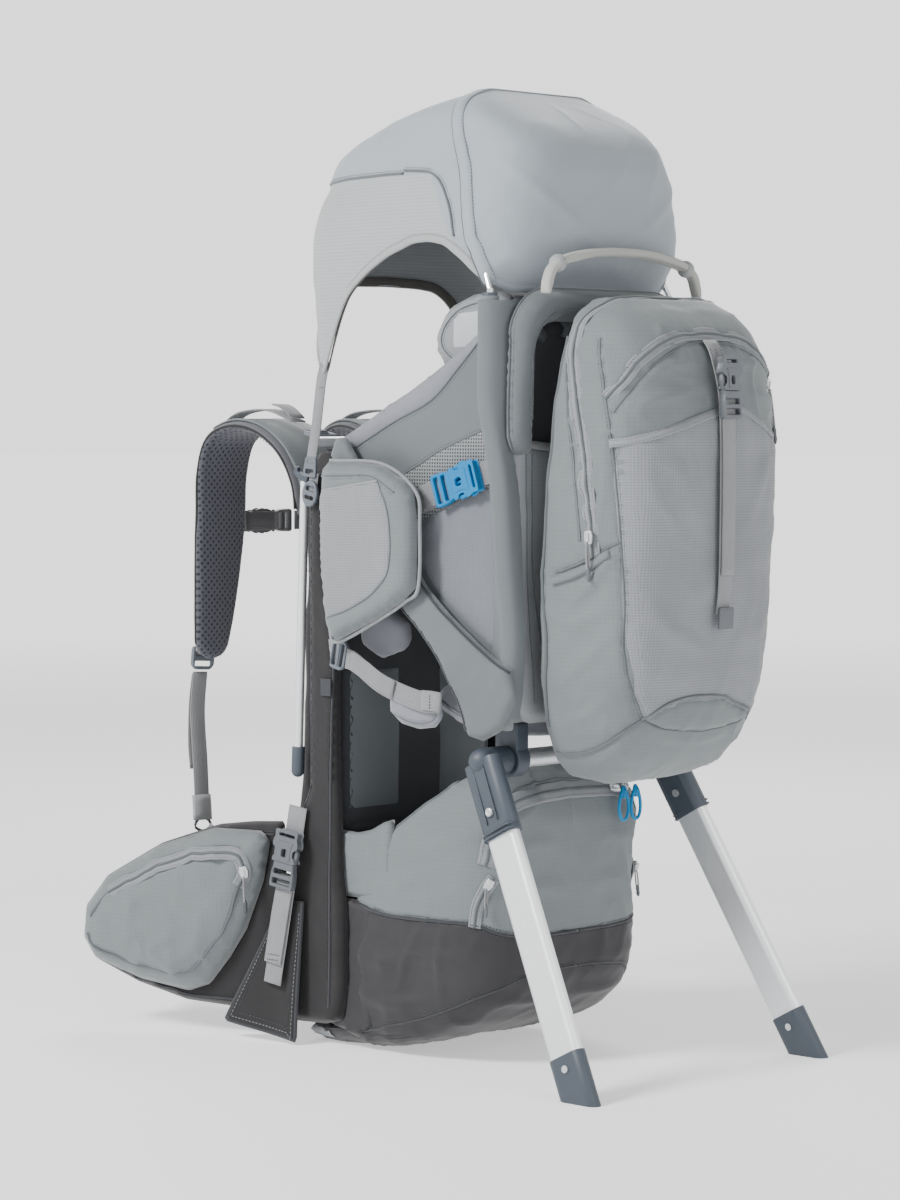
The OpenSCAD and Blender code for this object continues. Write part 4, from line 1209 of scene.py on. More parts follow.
side_seam = [(-102, -286, 696), (-108, -296, 655), (-111, -305, 617), (-111, -312, 565), (-108, -316, 508),
             (-105, -318, 455), (-102, -315, 412), (-90, -318, 363), (-78, -319, 342)]
low_seam = [(-100, -215, 300), (-94, -244, 303), (-92, -279, 315), (-88, -306, 331), (-78, -319, 342)]
main_zip = [(-113, -286, 493), (-114, -283, 535), (-113, -272, 611), (-109, -261, 657), (-104, -255, 689),
            (-96, -257, 711), (-80, -268, 727), (-50, -276, 735), (-14, -280, 737)]
gusset_low = [(-113, -238, 478), (-113, -260, 484), (-113, -281, 491), (-110, -303, 503), (-107, -316, 508)]
u_zip = [(-110, -301, 640), (-104, -316, 656), (-92, -326, 675), (-50, -330, 696), (-14, -331, 701)]
pocket_top = [(-109, -305, 598), (-94, -335, 604), (-60, -347, 614), (6, -350, 630), (36, -349, 627),
              (79, -343, 608), (109, -305, 598)]
panel_low = [(-110, -309, 627), (-101, -323, 647), (-85, -332, 667), (-45, -335, 688), (-14, -335, 693)]
back_edge = [(-110, -221, 700), (-110, -221, 477), (-109, -225, 406), (-104, -215, 330)]

day_rows = [day_ring(277 + 7 * (1 - math.sqrt(1 - q * q)) - 1.5, q * 0.97) for q in (0.03, 0.3, 0.55, 0.78, 0.92)]
day_rows += [day_ring(z) for z in np.linspace(284, 733, 150)]
day_rows += [day_ring(734 + 3.2 * math.sqrt(1 - q * q) - 0.6, q) for q in (0.93, 0.8, 0.55, 0.3, 0.03)]
day_lines = [mirror_x(l, s) for l in (side_seam, low_seam, gusset_low) for s in (1, -1)]
day_lines += [both_sides(main_zip), both_sides(u_zip), both_sides(panel_low)]
DAY_FOLDS = [([(112, -262, 452), (110, -285, 470), (106, -312, 500)], 4.0, 8),
             ([(111, -232, 440), (111, -262, 432), (108, -300, 446)], 2.4, 9),
             ([(108, -236, 372), (107, -270, 395), (101, -310, 430)], 2.6, 10),
             ([(103, -240, 336), (100, -276, 350), (94, -312, 380)], 2.4, 8),
             ([(109, -232, 560), (114, -252, 585), (112, -262, 640)], 2.2, 9),
             ([(114, -292, 520), (113, -300, 560), (111, -298, 610)], 1.6, 6),
             ([(100, -318, 630), (84, -338, 640), (50, -346, 644)], 2.6, 8),
             ([(98, -322, 655), (70, -340, 668), (30, -341, 676)], 1.8, 7),
             ([(86, -333, 590), (60, -347, 570), (34, -350, 520)], 1.8, 10),
             ([(92, -322, 470), (70, -338, 430), (30, -345, 410)], 2.0, 10),
             ([(72, -322, 352), (40, -332, 366), (8, -334, 372)], 1.8, 6),
             ([(70, -312, 332), (30, -318, 322), (2, -318, 318)], 1.6, 6),
             ([(60, -296, 716), (30, -304, 722), (4, -306, 723)], 1.8, 6)]
daypack = bag_mesh("daypack_bag_cloth", day_rows, RIPSTOP, "daypack", day_lines, 2.2, 3.6, on_each(DAY_FOLDS),
                   hides=["daypack_bag"], slot="ripstop")
day_surf = Surface(daypack)
pocket_outline = [(-107, 596), (-94, 603), (-60, 614), (-24, 626), (6, 630), (36, 627), (79, 609), (94, 603),
                  (107, 596), (108, 560), (104.5, 508), (102, 455), (98, 412), (88, 368), (76, 344), (50, 334),
                  (0, 329), (-50, 334), (-76, 344), (-88, 368), (-98, 412), (-102, 455), (-104.5, 508), (-108, 560)]
stretch = panel("daypack_stretch_pocket", day_surf, pocket_outline, "rear", STRETCH, "daypack", ray=(0, 1, 0),
                lift=1.9, puff=1.6, edge=24, wave=0.8, step=5)
patch_line = [(-77, 344), (-60, 358), (-30, 364), (15, 362), (36, 355), (77, 344), (50, 333.5), (0, 328), (-50, 333.5)]
patch = panel("daypack_base_patch", day_surf, patch_line, "rear", RIPSTOP, "daypack", ray=(0, 1, 0),
              lift=3.6, puff=1.8, edge=12, wave=0.5, step=4, seed=5.0)
panel_surf = Surface(daypack, stretch, patch)
for tag, s in SIDES.items():
    for part, line, r, both in (("side_seam", side_seam, 0.9, (3.0, -3.0)), ("low_piping", low_seam, 1.7, (3.4,)),
                                ("gusset_seam", gusset_low, 0.9, (3.0, -3.0)), ("back_piping", back_edge, 2.0, (3.6,))):
        seam(f"daypack_{part}_{tag}", panel_surf, mirror_x(line, s), SEAM_DARK, "daypack", r=r, both=both,
             thread=THREAD)
seam("daypack_base_piping", panel_surf, [(-78, -319, 342), (-48, -323, 332), (0, -324, 328), (48, -323, 332),
                                         (78, -319, 342)], SEAM_DARK, "daypack", r=1.3, thread=THREAD)
top_hem, hem_nor = panel_surf.lay(pocket_top, 1.0)
band("daypack_pocket_hem", top_hem, 8, 1.8, RIPSTOP_PALE, "daypack", normals=hem_nor, flat=True)
hem_across = unit(np.cross(hem_nor, tangents(top_hem)))
for k, d in enumerate((-2.4, 2.4)):
    stitches(f"daypack_pocket_hem_stitch_{k}", top_hem + hem_across * d + hem_nor * 0.8, hem_nor, THREAD, "daypack")
seam("daypack_patch_seam", panel_surf, [(x, -352, z) for x, z in patch_line[:6]], SEAM_DARK, "daypack", r=1.2,
     lift=0.8, both=(-3.0,), thread=THREAD, ray=(0, 1, 0))
zip_line("daypack_main_zip", panel_surf, both_sides(main_zip), "daypack", lift=1.0)
zip_line("daypack_pocket_zip", panel_surf, both_sides(u_zip), "daypack", width=13)
seam("daypack_pocket_seam", panel_surf, both_sides(panel_low), SEAM_DARK, "daypack", r=0.8, both=(-2.6,),
     thread=THREAD)
gusset_line = [(-112, -272, 508), (-112, -266, 560), (-110, -258, 620), (-106, -248, 672)]
for tag, s in SIDES.items():
    seam(f"daypack_gusset_line_{tag}", panel_surf, mirror_x(gusset_line, s), SEAM_DARK, "daypack", r=0.6, both=(2.4,),
         thread=THREAD)
# Fold of the open side pocket under the gusset
for tag, s in SIDES.items():
    lip = [(s * 113.5, -235, 470), (s * 114.5, -262, 477), (s * 113.5, -284, 486), (s * 110, -306, 498)]
    p, u = panel_surf.lay(lip, 1.4)
    band(f"daypack_pocket_lip_{tag}", p, 7, 3.4, RIPSTOP, "daypack", normals=u, flat=True)
strap = curve([(-4, -336, 694), (-4, -344, 682), (-4, -354.6, 646), (-4, -357.2, 600), (-4, -357.4, 560),
               (-4, -356.4, 480), (-4, -353.4, 440)], 6)
band("daypack_strap", strap, 19, 1.7, WEB, "daypack", side=(1, 0, 0), hides=["daypack_webbing"], slot="webbing")
band("daypack_strap_loose_end", curve([(-3.4, -359.4, 640), (-3.2, -359.8, 560), (-3.4, -359.4, 510),
                                       (-3.6, -359.0, 476)], 6), 19, 1.7, WEB, "daypack_buckle", side=(1, 0.04, 0))
tab = on_strap((-4, -357.8, 446), (-4, -356.4, 424), (0, -1, 0))
plate("daypack_strap_tab", [box_line(0, 20, -10.4, 10.4, 1.4)], 2.6, tab, BUCKLE, "daypack", round_edge=0.7, z=-1.2)
stitches("daypack_strap_tab_stitch", [(-13, -358.8, 444), (5, -358.8, 444)], (0, -1, 0), THREAD_DARK, "daypack")
for k, x in enumerate((-11.5, -4, 3.5)):
    stitches(f"daypack_strap_top_stitch_{k}", [(x, -343.2, 686), (x, -348.2, 672)], (0, -0.94, 0.34), THREAD_DARK,
             "daypack", pitch=2.6, long=1.8)
day_mouth = on_strap((-4, -356.4, 648), (-4, -354.2, 684), (0, -1, 0))
socket_half("daypack_socket_moulding", day_mouth, 28, BUCKLE, "daypack", hides=["daypack_socket"],
            slot="grey_plastic")
plug_half("daypack_plug_moulding", day_mouth, 28, BUCKLE, "daypack_buckle", hides=["daypack_plug"],
          slot="grey_plastic")


def cord_pull(name, a, b, mat, body, s=1, r=1.0, grip=None, grip_r=2.4):
    """A zip's cord pull: a doubled cord down to a moulded grip."""
    a, b = arr(a), arr(b)
    t = unit(b - a)
    w = unit(np.cross(t, (0.3, 1, 0.2))) * 1.3
    line = curve([a + w * 0.3, (2 * a + b) / 3 + w, b + w * 0.8, b + t * 2, b - w * 0.8, (2 * a + b) / 3 - w,
                  a - w * 0.3], 5)
    tube(name, line, r, mat, body, s, sides=6, step=2)
    c = b + t * (np.linalg.norm(b - a) * 0.35)
    tube(name + "_grip", [b - t * 3, b, (b + c) / 2, c, c + t * 1.5], grip_r, grip or mat, body, s, sides=10, step=1.5,
         radii=[grip_r * 0.5, grip_r, grip_r * 0.85, grip_r, grip_r * 0.4])


def slider(name, place, u, mat, body, s=1, long=13):
    """A zip's slider body, with its bridge."""
    f = on_strap(place, arr(place) + arr(u[0]), u[1])
    plate(name, [rounded(mirrored_y([(-long / 2, 3.2), (0, 4.6), (long / 2, 3.6)]), 1.2)], 3.4, f, mat, body, s,
          round_edge=0.9, z=0.4)
    plate(name + "_bridge", [box_line(-4, 4, -1.3, 1.3, 0.6)], 2.0, f, mat, body, s, round_edge=0.5, z=3.6)


slider("daypack_far_slider", (104, -316.5, 655), ((0.2, 0.4, -0.9), (0.6, -0.78, 0.1)), STEEL, "daypack")
cord_pull("daypack_far_pull", (104, -322, 650), (102, -329, 612), CORD_GREY, "daypack", grip=BUCKLE_DARK)
slider("daypack_near_slider", (-113.4, -285, 512), ((0, 0.1, 1), (-1, -0.1, 0)), STEEL, "daypack")
cord_pull("daypack_near_pull", (-117.5, -285, 508), (-117, -286, 482), CORD_GREY, "daypack", grip=BUCKLE)

# ---------------------------------------------------------------- back shell and headrest


shell = pillow("back_shell_pad", on_both([(96, 337), (108, 346), (107, 380), (103, 560), (103, 690)]
                                         + arc(70, 700, 35, 10, 88, 6)), "rear", -177, -186.5, SHADOW, "frame",
               round_low=5, round_high=9, step=8, wave=0.4, hides=["back_shell"], slot="back_fabric")
sleeve_panel = pillow("back_sleeve_panel", on_both([(98, 334), (115, 345), (117, 420), (118, 520), (119, 590),
                                                    (112, 601), (70, 596), (20, 592)]), "rear", -188, -197.5,
                      RIPSTOP_PALE, "frame", round_low=6, round_high=8, step=8, wave=1.2, scale=60)
sleeve_surf = Surface(sleeve_panel)
for tag, s in SIDES.items():
    p, u = sleeve_surf.lay([(s * 114, -199, 599), (s * 70, -199, 594.5), (s * 2, -199, 590.5)], 0.6, ray=(0, 1, 0))
    band(f"back_sleeve_hem_{tag}", p, 8, 2.6, BINDING, "frame", normals=u, flat=True)
    for k, (x0, x1) in enumerate(((104, 92), (96, 70))):
        seam(f"back_sleeve_seam_{tag}_{k}", sleeve_surf, [(s * x0, -199, 588), (s * (x0 - 3), -199, 470),
                                                          (s * x1, -199, 352)], SEAM_DARK, "frame", r=0.7,
             both=(2.8,), thread=THREAD, ray=(0, 1, 0))
seam("back_shell_seam", Surface(shell), [(-92, -186, 610), (-94, -186, 690), (-70, -186, 722), (0, -186, 727),
                                         (70, -186, 722), (94, -186, 690), (92, -186, 610)], SEAM_DARK, "frame",
     r=1.0, both=(3.2,), thread=THREAD_DARK, ray=(0, 1, 0))

rim_right = [(97, 588), (110, 585), (122, 590), (128.5, 604), (129, 640), (126.5, 690)] + arc(78, 694, 50, 12, 88, 8)
rim_left_in = [(66, 713)] + arc(66, 680, 33.5, 60, 8, 4) + [(97, 640)]
rim_line = on_both(rim_right) + [(-x, z) for x, z in reversed(rim_left_in)] + rim_left_in


def rim_depth(v):
    """The rim is less deep lower down, where the daypack reaches further forward."""
    k = np.interp(v[:, 2], [585, 640, 700, 745], [0.42, 0.5, 0.62, 0.74])
    v = v.copy()
    v[:, 1] = -189 - (-189 - v[:, 1]) * k
    return v


rim = pillow("headrest_rim_pad", rim_line, "rear", -190, -229, PAD_GREY, "frame", round_low=8, round_high=19, step=5.5,
             wave=1.0, scale=50, bend=rim_depth, hides=["headrest_rim"], slot="shell_fabric")
rim_surf = Surface(rim)
outer_edge = [(p[0] + 2, -198, p[1]) for p in rim_right[2:]]
seam("headrest_rim_seam", rim_surf, both_sides(outer_edge), SEAM_DARK,
     "frame", r=1.0, both=(3.2,), thread=THREAD)
inner_edge = [(97, -222, 620)] + [(x - 1, -226, z + 3) for x, z in reversed(rim_left_in[:-1])]
seam("headrest_inner_seam", rim_surf, both_sides(inner_edge), SEAM_DARK,
     "frame", r=1.0, both=(-3.2,), thread=THREAD)


def dome(name, place, out, r, mat, body, s=1, high=2.4):
    """A snap or rivet head with a rim and a dimple."""
    f = on_strap(place, arr(place) + np.cross(unit(out), (0.1, 0.2, 1)), out)
    rows = [[f @ arr([q * math.cos(t), q * math.sin(t), h, 1]) for t in np.linspace(0, 2 * math.pi, 24, False)]
            for q, h in ((r, 0), (r, high * 0.35), (r * 0.9, high * 0.7), (r * 0.68, high), (r * 0.5, high * 0.96),
                         (r * 0.38, high * 0.7), (r * 0.05, high * 0.62))]
    v, faces = lattice(rows, loop=True, caps=True)
    return mesh(name, v, faces, mat, body, s)


for tag, s in SIDES.items():
    dome(f"shell_snap_{tag}", (72, -186.6, 700), (0, -1, 0), 7, BUCKLE_DARK, "frame", s)
    hook = on_strap((40, -188, 716), (40, -188, 690), (0, -1, 0))
    plate(f"daypack_hook_{tag}", [rounded([(-8, -7), (4, -7), (10, -4), (15, -1), (18, 4), (15, 7), (12, 4), (8, 2),
                                           (4, 7), (-8, 7)], 2), box_line(-5.4, -1.6, -4.6, 4.6)], 4, hook, BUCKLE,
          "frame", s, round_edge=1.2)

# Pillow behind the child's head, with a wing on each side
head = pillow("head_support_pillow", on_both([(60, 656), (90, 657), (96, 664), (96, 730), (88, 741), (50, 743)]),
              "rear", -155, -172, LILAC, "frame", round_low=14, round_high=8, step=6, wave=0.9, hides=["head_support"],
              slot="shade_fabric")
settle(head, cap=4)
wings = []
for tag, s in SIDES.items():
    wing = pillow(f"head_support_wing_{tag}", [(-166, 658), (-166, 738), (-150, 742), (-116, 740), (-86, 729),
                                               (-68, 706), (-67, 690), (-76, 674), (-100, 664), (-140, 657)],
                  "side", 79, 96.5, RIPSTOP_PALE, "frame", s, round_low=9, round_high=9, step=5.5, wave=0.8, seed=3.0)
    wings.append(wing)
    if s == 1:
        wing_surf = Surface(wing)
    for side, ray, x in (("out", (-1, 0, 0), 99), ("in", (1, 0, 0), 76)):
        panel(f"head_wing_patch_{side}_{tag}", wing_surf, [(-132, 690), (-132, 724), (-104, 722), (-96, 716),
                                                           (-96, 690)], "side", SILVER_PATCH, "frame", s, ray=ray,
              lift=0.8, puff=0.3, step=3)
        seam(f"head_wing_seam_{side}_{tag}", wing_surf, [(x, -154, 668), (x, -120, 671), (x, -92, 680), (x, -79, 697),
                                                         (x, -92, 718), (x, -118, 730), (x, -154, 732)], SEAM_DARK,
             "frame", s, r=0.8, both=(2.6,), thread=THREAD, ray=ray)
head_surf = Surface(head)
for k, x in enumerate((-34, 34)):
    seam(f"head_support_seam_{k}", head_surf, [(x, -150, 664), (x * 0.9, -150, 700), (x, -150, 736)], SEAM_DARK,
         "frame", r=0.8, both=(2.6, -2.6), thread=THREAD, ray=(0, -1, 0))

# ---------------------------------------------------------------- cockpit sides

SIDE_LINE = [(48, 560), (52, 574), (36, 602), (3, 618), (-22, 631), (-58, 648), (-91, 666), (-131, 690), (-160, 711),
             (-168, 706), (-164, 658), (-172, 601), (-180, 559), (-184, 480), (-182, 420), (-176, 372), (-164, 347),
             (-130, 386), (-96, 428), (-60, 464), (-18, 464), (34, 430)]


def bow(v):
    """The side panel swells out a little in the middle and tucks in at its rear seam."""
    v = v.copy()
    k = np.exp(-((v[:, 1] + 60) / 75) ** 2) * np.exp(-((v[:, 2] - 560) / 90) ** 2)
    v[:, 0] += 1.4 * k - 1.2
    return v


def side_pieces(tag, s):
    """The padded side of the cockpit."""
    side = pillow(f"cockpit_side_pad_{tag}", SIDE_LINE, "side", 112, 123, PAD_GREY, "frame", s, round_low=6,
                  round_high=7, step=6, wave=0.8, scale=60, bend=bow, hides=[f"cockpit_side_{tag}"],
                  slot="shell_fabric")
    return side


right_side = side_pieces("right", 1)
side_pieces("left", -1)
side_surf = Surface(right_side)
IN = (-1, 0, 0)
rim_low = [(48, 574), (28, 586), (-4, 601), (-45, 620), (-91, 639), (-124, 667), (-160, 701)]
holes_top = [(-20, 553), (-45, 564), (-75, 577), (-105, 592), (-168, 614)]
holes_low = [(-30, 500), (-65, 515), (-118, 540), (-178, 559)]
cover_rear = [(-30, 548), (-73, 488), (-97, 458), (-130, 431), (-176, 402)]
for tag, s in SIDES.items():
    panel(f"cockpit_rim_{tag}", side_surf, [(46, 577), (36, 601), (3, 617), (-22, 630), (-58, 647), (-91, 665),
                                            (-131, 689), (-160, 710)] + rim_low[::-1][0:6], "side", LILAC,
          "frame", s, ray=IN, lift=1.0, puff=2.4, edge=9, wave=0.4, step=5)
    panel(f"cockpit_holes_{tag}", side_surf, holes_top + holes_low[::-1], "side", PERFORATED, "frame", s, ray=IN,
          lift=0.9, puff=0.3, wave=0.2, step=5)
    panel(f"cockpit_sling_{tag}", side_surf, holes_low + [(-183, 480), (-181, 420),
                                                          (-176, 404)] + cover_rear[::-1][1:4], "side", KNIT, "frame",
          s, ray=IN, lift=0.9, puff=1.2, edge=20, wave=1.4, step=5, seed=6.0)
    side_lines = [("rim", rim_low, 1.0, (3.0,)), ("holes_top", holes_top, 0.9, (3.0, -3.0)), ("holes_low", holes_low,
                                                                                              0.9, (-3.0,)),
                  ("rear", [(-161, 700), (-160, 658), (-168, 601), (-176, 559), (-180, 480), (-178, 410)], 1.4,
                   (-3.2,))]
    for part, line, r, both in side_lines:
        seam(f"cockpit_{part}_seam_{tag}", side_surf, [(126, y, z) for y, z in line], SEAM_DARK, "frame", s, r=r,
             both=both, thread=THREAD, ray=IN)

# Sewn cover over the diagonal strut
COVER = [(36, 586), (0, 538), (-30, 484), (-54, 444), (-84, 420), (-110, 392), (-134, 355), (-148, 322), (-168, 318),
         (-190, 328), (-211, 359), (-204, 387), (-175, 401), (-130, 432), (-97, 459), (-73, 489), (-42, 530), (14, 604),
         (30, 602)]
cover = {}
for tag, s in SIDES.items():
    cover[s] = pillow(f"strut_cover_{tag}", COVER, "side", 126.2, 137.6, PAD_GREY, "frame", s, round_low=8,
                      round_high=11, step=5, wave=0.9, scale=40, hides=["struts"], slot="shell_fabric", seed=4.0)
cover_surf = Surface(cover[1])
for tag, s in SIDES.items():
    for part, line in (("low", [(-2, 540), (-31, 486), (-54, 447), (-84, 423), (-109, 395), (-132, 358), (-146, 326)]),
                       ("rear", [(-203, 384), (-175, 398), (-130, 428), (-97, 455), (-72, 485), (-42, 526),
                                 (-4, 576)])):
        seam(f"strut_cover_piping_{part}_{tag}", cover_surf, [(139, y, z) for y, z in line], SHADOW, "frame", s, r=1.5,
             both=(3.4 if part == "rear" else -3.4,), thread=THREAD, ray=IN)

# Pocket that hangs from the cockpit's side, and its stretch front
POCKET = [(30, 572), (24, 580), (-20, 580), (-48, 577), (-78, 563), (-91, 552), (-96, 520), (-94, 461), (-78, 448),
          (-44, 430), (-12, 416), (14, 405), (24, 420), (31, 485)]
pockets = {}
for tag, s in SIDES.items():
    pockets[s] = pillow(f"side_pocket_{tag}", POCKET, "side", 141.5, 159.5, RIPSTOP, "frame", s, round_low=5,
                        round_high=17, step=5, wave=1.4, scale=38, hides=["side_pockets"], slot="light_mesh", seed=8.0)
pocket_surf = Surface(pockets[1])
for tag, s in SIDES.items():
    panel(f"side_pocket_stretch_{tag}", pocket_surf, [(27, 552), (-10, 557), (-53, 562), (-66, 540), (-71, 505),
                                                      (-68, 474), (-44, 452), (-10, 436), (18, 428), (27, 470)],
          "side", STRETCH, "frame", s, ray=IN, lift=1.0, puff=1.4, edge=12, wave=0.8, step=4, seed=9.0)
    for part, line, mat, r in (("hem", [(28, 551), (-10, 556), (-54, 562)], RIPSTOP_PALE, 1.6),
                               ("edge", [(-54, 562), (-66, 540), (-71, 505), (-68, 474), (-44, 452), (-10, 436),
                                         (18, 428)], SEAM_DARK, 0.8),
                               ("flap", [(26, 566), (-20, 567), (-47, 566), (-76, 551)], SEAM_DARK, 0.8)):
        seam(f"side_pocket_{part}_{tag}", pocket_surf, [(162, y, z) for y, z in line], mat, "frame", s, r=r,
             both=(3.0,), thread=THREAD, ray=IN)
    hem_line = [(144, 31, 486), (144, 25, 420), (144, 14, 404.5), (144, -44, 429), (144, -78, 447), (144, -95, 461),
                (144, -97, 520), (144, -92, 552), (144, -48, 578), (144, 24, 581)]
    tube(f"side_pocket_binding_{tag}", curve(hem_line, 5), 1.8, RIPSTOP_PALE, "frame", s, sides=8)
    # Folded lip where the cloth turns under the webbing
    band(f"side_pocket_fold_{tag}", curve([(156, -72, 556), (150, -84, 545), (148, -80, 532), (151, -84, 512)], 6), 6,
         2.4, RIPSTOP, "frame", normals=(1, -0.4, 0), s=s, step=3)
# Webbing through the cyan buckle, and its loose tail
for tag, s in SIDES.items():
    a, b = arr([124.9, -34, 528]), arr([124.9, -172, 573])
    d = unit(b - a)
    band(f"cockpit_strap_{tag}", [a, a + 0.35 * (b - a), a + 0.7 * (b - a)], 25, 1.8, WEB_PALE, "frame",
         side=(0, 0.3, 1), s=s, hides=["frame_webbing"], slot="webbing")
    band(f"cockpit_strap_rear_{tag}", [a + 0.86 * (b - a), b, b + d * 8 + arr([-3, 0, 0])], 23, 1.8, WEB_PALE, "frame",
         side=(0, 0.3, 1), s=s)
    band(f"cockpit_strap_tail_{tag}", [a + 0.36 * (b - a) + arr([3.2, 0, 1]), a + 0.5 * (b - a) + arr([4.2, 0, 0.8]),
                                       a + 0.64 * (b - a) + arr([3.2, 0, 0.4])], 24, 1.6, WEB_PALE,
         f"cockpit_buckle_{tag}", side=(0, 0.3, 1), s=s)
    mouth = a + 0.7 * (b - a)
    lift = arr([1.5, 0, 0])
    place = on_strap(mouth + lift, b + lift, (1, 0, 0))
    socket_half(f"cockpit_socket_{tag}", place, 34, CYAN, "frame", s, hides=["cockpit_sockets"], slot="cyan_plastic")
    plug_half(f"cockpit_plug_moulding_{tag}", place, 34, CYAN, f"cockpit_buckle_{tag}", s,
              hides=[f"cockpit_plug_{tag}"], slot="cyan_plastic")

# Front wall of the cockpit, and the soft pad along its top
wall = pillow("front_wall", on_both([(106, 212), (108, 240), (108, 540), (100, 566)]), "rear", 54, 42, SHADOW, "frame",
              round_low=4, round_high=5, step=9, wave=1.0, hides=["front_pad"], slot="back_fabric")
wall_surf = Surface(wall)
for tag, s in SIDES.items():
    label = [(s * 30, 236), (s * 98, 236), (s * 98, 372), (s * 30, 372)]
    panel(f"inner_label_blank_{tag}", wall_surf, label[::int(s)], "rear", PAD_GREY, "frame", ray=(0, 1, 0), lift=0.9,
          puff=0.5, edge=8, step=6)
    stitches(f"inner_label_stitch_{tag}", [(s * 33, 40, 369), (s * 95, 40, 369)], (0, -1, 0), THREAD, "frame")
pad_line = on_both([(98, 566), (104, 580), (102, 596), (88, 609), (66, 627), (46, 640)])
front = pillow("front_pad_cushion", pad_line, "rear", 51, 15, LILAC, "frame", round_low=17, round_high=17, step=6,
               wave=1.0, scale=40)
settle(front, cap=4)
front_surf = Surface(front)
seam("front_pad_seam", front_surf, [(-96, 33, 606), (-70, 33, 625), (-46, 33, 640), (0, 33, 642), (46, 33, 640),
                                    (70, 33, 625), (96, 33, 606)], SEAM_DARK, "frame", r=1.0, both=(3.0, -3.0),
     thread=THREAD)
for node, mat, bevel in (("front_uprights", ALU, 0), ("upright_caps", SLATE, 1.0), ("top_crossbar", ALU, 0),
                         ("pivot_brackets", SLATE, 1.2)):
    dress(node, mat, bevel)
# Cloth sleeves over the rear uprights
rear_path = [(117, -181, 330), (119.5, -190, 372), (121, -195, 420), (124, -191, 492), (125.4, -186, 560),
             (128.6, -179, 610), (130, -175, 640), (130, -175, 690), (130, -175, 736)]
for tag, s in SIDES.items():
    up = tube(f"rear_upright_sleeve_{tag}", curve(rear_path, 6), 8.6, RIPSTOP, "frame", s, sides=20, step=6,
              hides=["rear_uprights"], slot="moulded_slate")
    tube(f"rear_upright_collar_{tag}", [(130, -175, 728), (130, -175, 733), (130, -175, 739)], 7.6, SLATE, "frame", s,
         sides=24, step=2, radii=[7.2, 7.8, 7.2])
    tube(f"rear_upright_piping_{tag}", curve([(p[0] + 8.2, p[1] + 2, p[2]) for p in rear_path[:-1]], 6), 1.3, SEAM_DARK,
         "frame", s, sides=8, step=6)
# Cloth that wraps each upright, from the cockpit's side round to the back of the shell
side_rear = [[330, -168], [372, -176], [420, -182], [480, -184], [559, -180], [601, -172], [658, -164], [706, -168],
             [736, -172]]
up_line = curve(rear_path, 6)
for tag, s in SIDES.items():
    rows = []
    for z in np.linspace(336, 732, 70):
        cx, cy = [float(np.interp(z, up_line[:, 2], up_line[:, k])) for k in (0, 1)]
        y0 = look(side_rear, z, 8)
        swell = 1.0 * math.sin(z / 21) + 0.8 * math.sin(z / 9 + 1)
        ctrl = [(121.6, y0 + 9, z), (cx + 6.5, cy + 8, z), (cx + 10.4, cy - 1 + 0.3 * swell, z), (cx + 6, cy - 9.6, z),
                (112 + 0.03 * (z - 336), min(cy - 9.4, -190) + 0.2 * swell, z), (101, -189.5, z)]
        rows.append(curve(ctrl, 6))
    v, f = lattice(rows)
    wrap = mesh(f"shell_side_wrap_{tag}", v, f, PAD_GREY, "frame", s)
    thicken(wrap, 1.4)
    if s == 1:
        wrap_surf = Surface(wrap)
    seam(f"shell_wrap_seam_{tag}", wrap_surf, [(138, float(np.interp(z, up_line[:, 2], up_line[:, 1])) - 14, z)
                                               for z in (345, 420, 500, 580, 650, 722)], SEAM_DARK, "frame", s, r=1.2,
         both=(3.0, -3.0), thread=THREAD)
# Soft pad inside the cockpit beside the child's leg
for tag, s in SIDES.items():
    leg = pillow(f"leg_pad_{tag}", [(22, 400), (24, 430), (10, 441), (-12, 440), (-42, 424), (-44, 408), (-36, 396),
                                    (-4, 386)], "side", 92, 110.5, LILAC, "frame", s, round_low=9, round_high=10,
                 step=4, wave=0.9, scale=30, seed=7.0)
    settle(leg, cap=3, voxel=4.0)

# ---------------------------------------------------------------- boot and cargo bag

LOW_POINTS = 176
LOW_BACK = [[0, 30], [2, 0], [8, -40], [20, -90], [38, -130], [60, -157], [82, -169], [126, -171.5], [236, -171.5],
            [258, -166], [283, -150], [292, -133]]
LOW_FRONT = [[0, 92], [7, 103], [17, 104], [19.5, 58], [31, 40], [150, 38], [168, 34], [188, 26], [204, 14], [250, -55],
             [281, -108], [292, -131]]
LOW_WIDE = [[0, 92], [6, 106], [16, 113], [40, 117.5], [148, 117], [225, 115.5], [252, 109], [272, 98], [284, 84],
            [292, 62]]
SEAM_YZ = [[-172, 126], [-135, 140], [-28, 138], [38, 148], [104, 150]]


def low_point(a, z, q=1.0):
    """A point of the boot and cargo bag at an angle and a height, drawn in to a share q."""
    w, back, front = look(LOW_WIDE, z, 4), look(LOW_BACK, z, 3), look(LOW_FRONT, z, 1)
    mid = (back + front) / 2
    c, s = math.cos(a), math.sin(a)
    p, d = (7.0, front - mid) if s > 0 else (4.2, mid - back)
    d = max(d, 1.5)
    r = q * ((abs(c) / w) ** p + (abs(s) / d) ** p) ** (-1 / p)
    return arr([r * c, mid + r * s, z])


def low_rows(steps, lower, upper):
    """Rings at shares of the way between two edges, whose heights depend on how far forward a point is."""
    rows = []
    for t in steps:
        row = []
        for i in range(LOW_POINTS):
            a = 2 * math.pi * i / LOW_POINTS
            p = low_point(a, lower(0) + t * (upper(0) - lower(0)))
            for _ in range(6):
                z = lower(p[1]) + t * (upper(p[1]) - lower(p[1]))
                p = low_point(a, z)
            row.append(p)
        rows.append(row)
    return rows


def seam_z(y):
    """Height of the seam between boot and cargo bag."""
    return float(np.interp(y, *arr(SEAM_YZ).T))


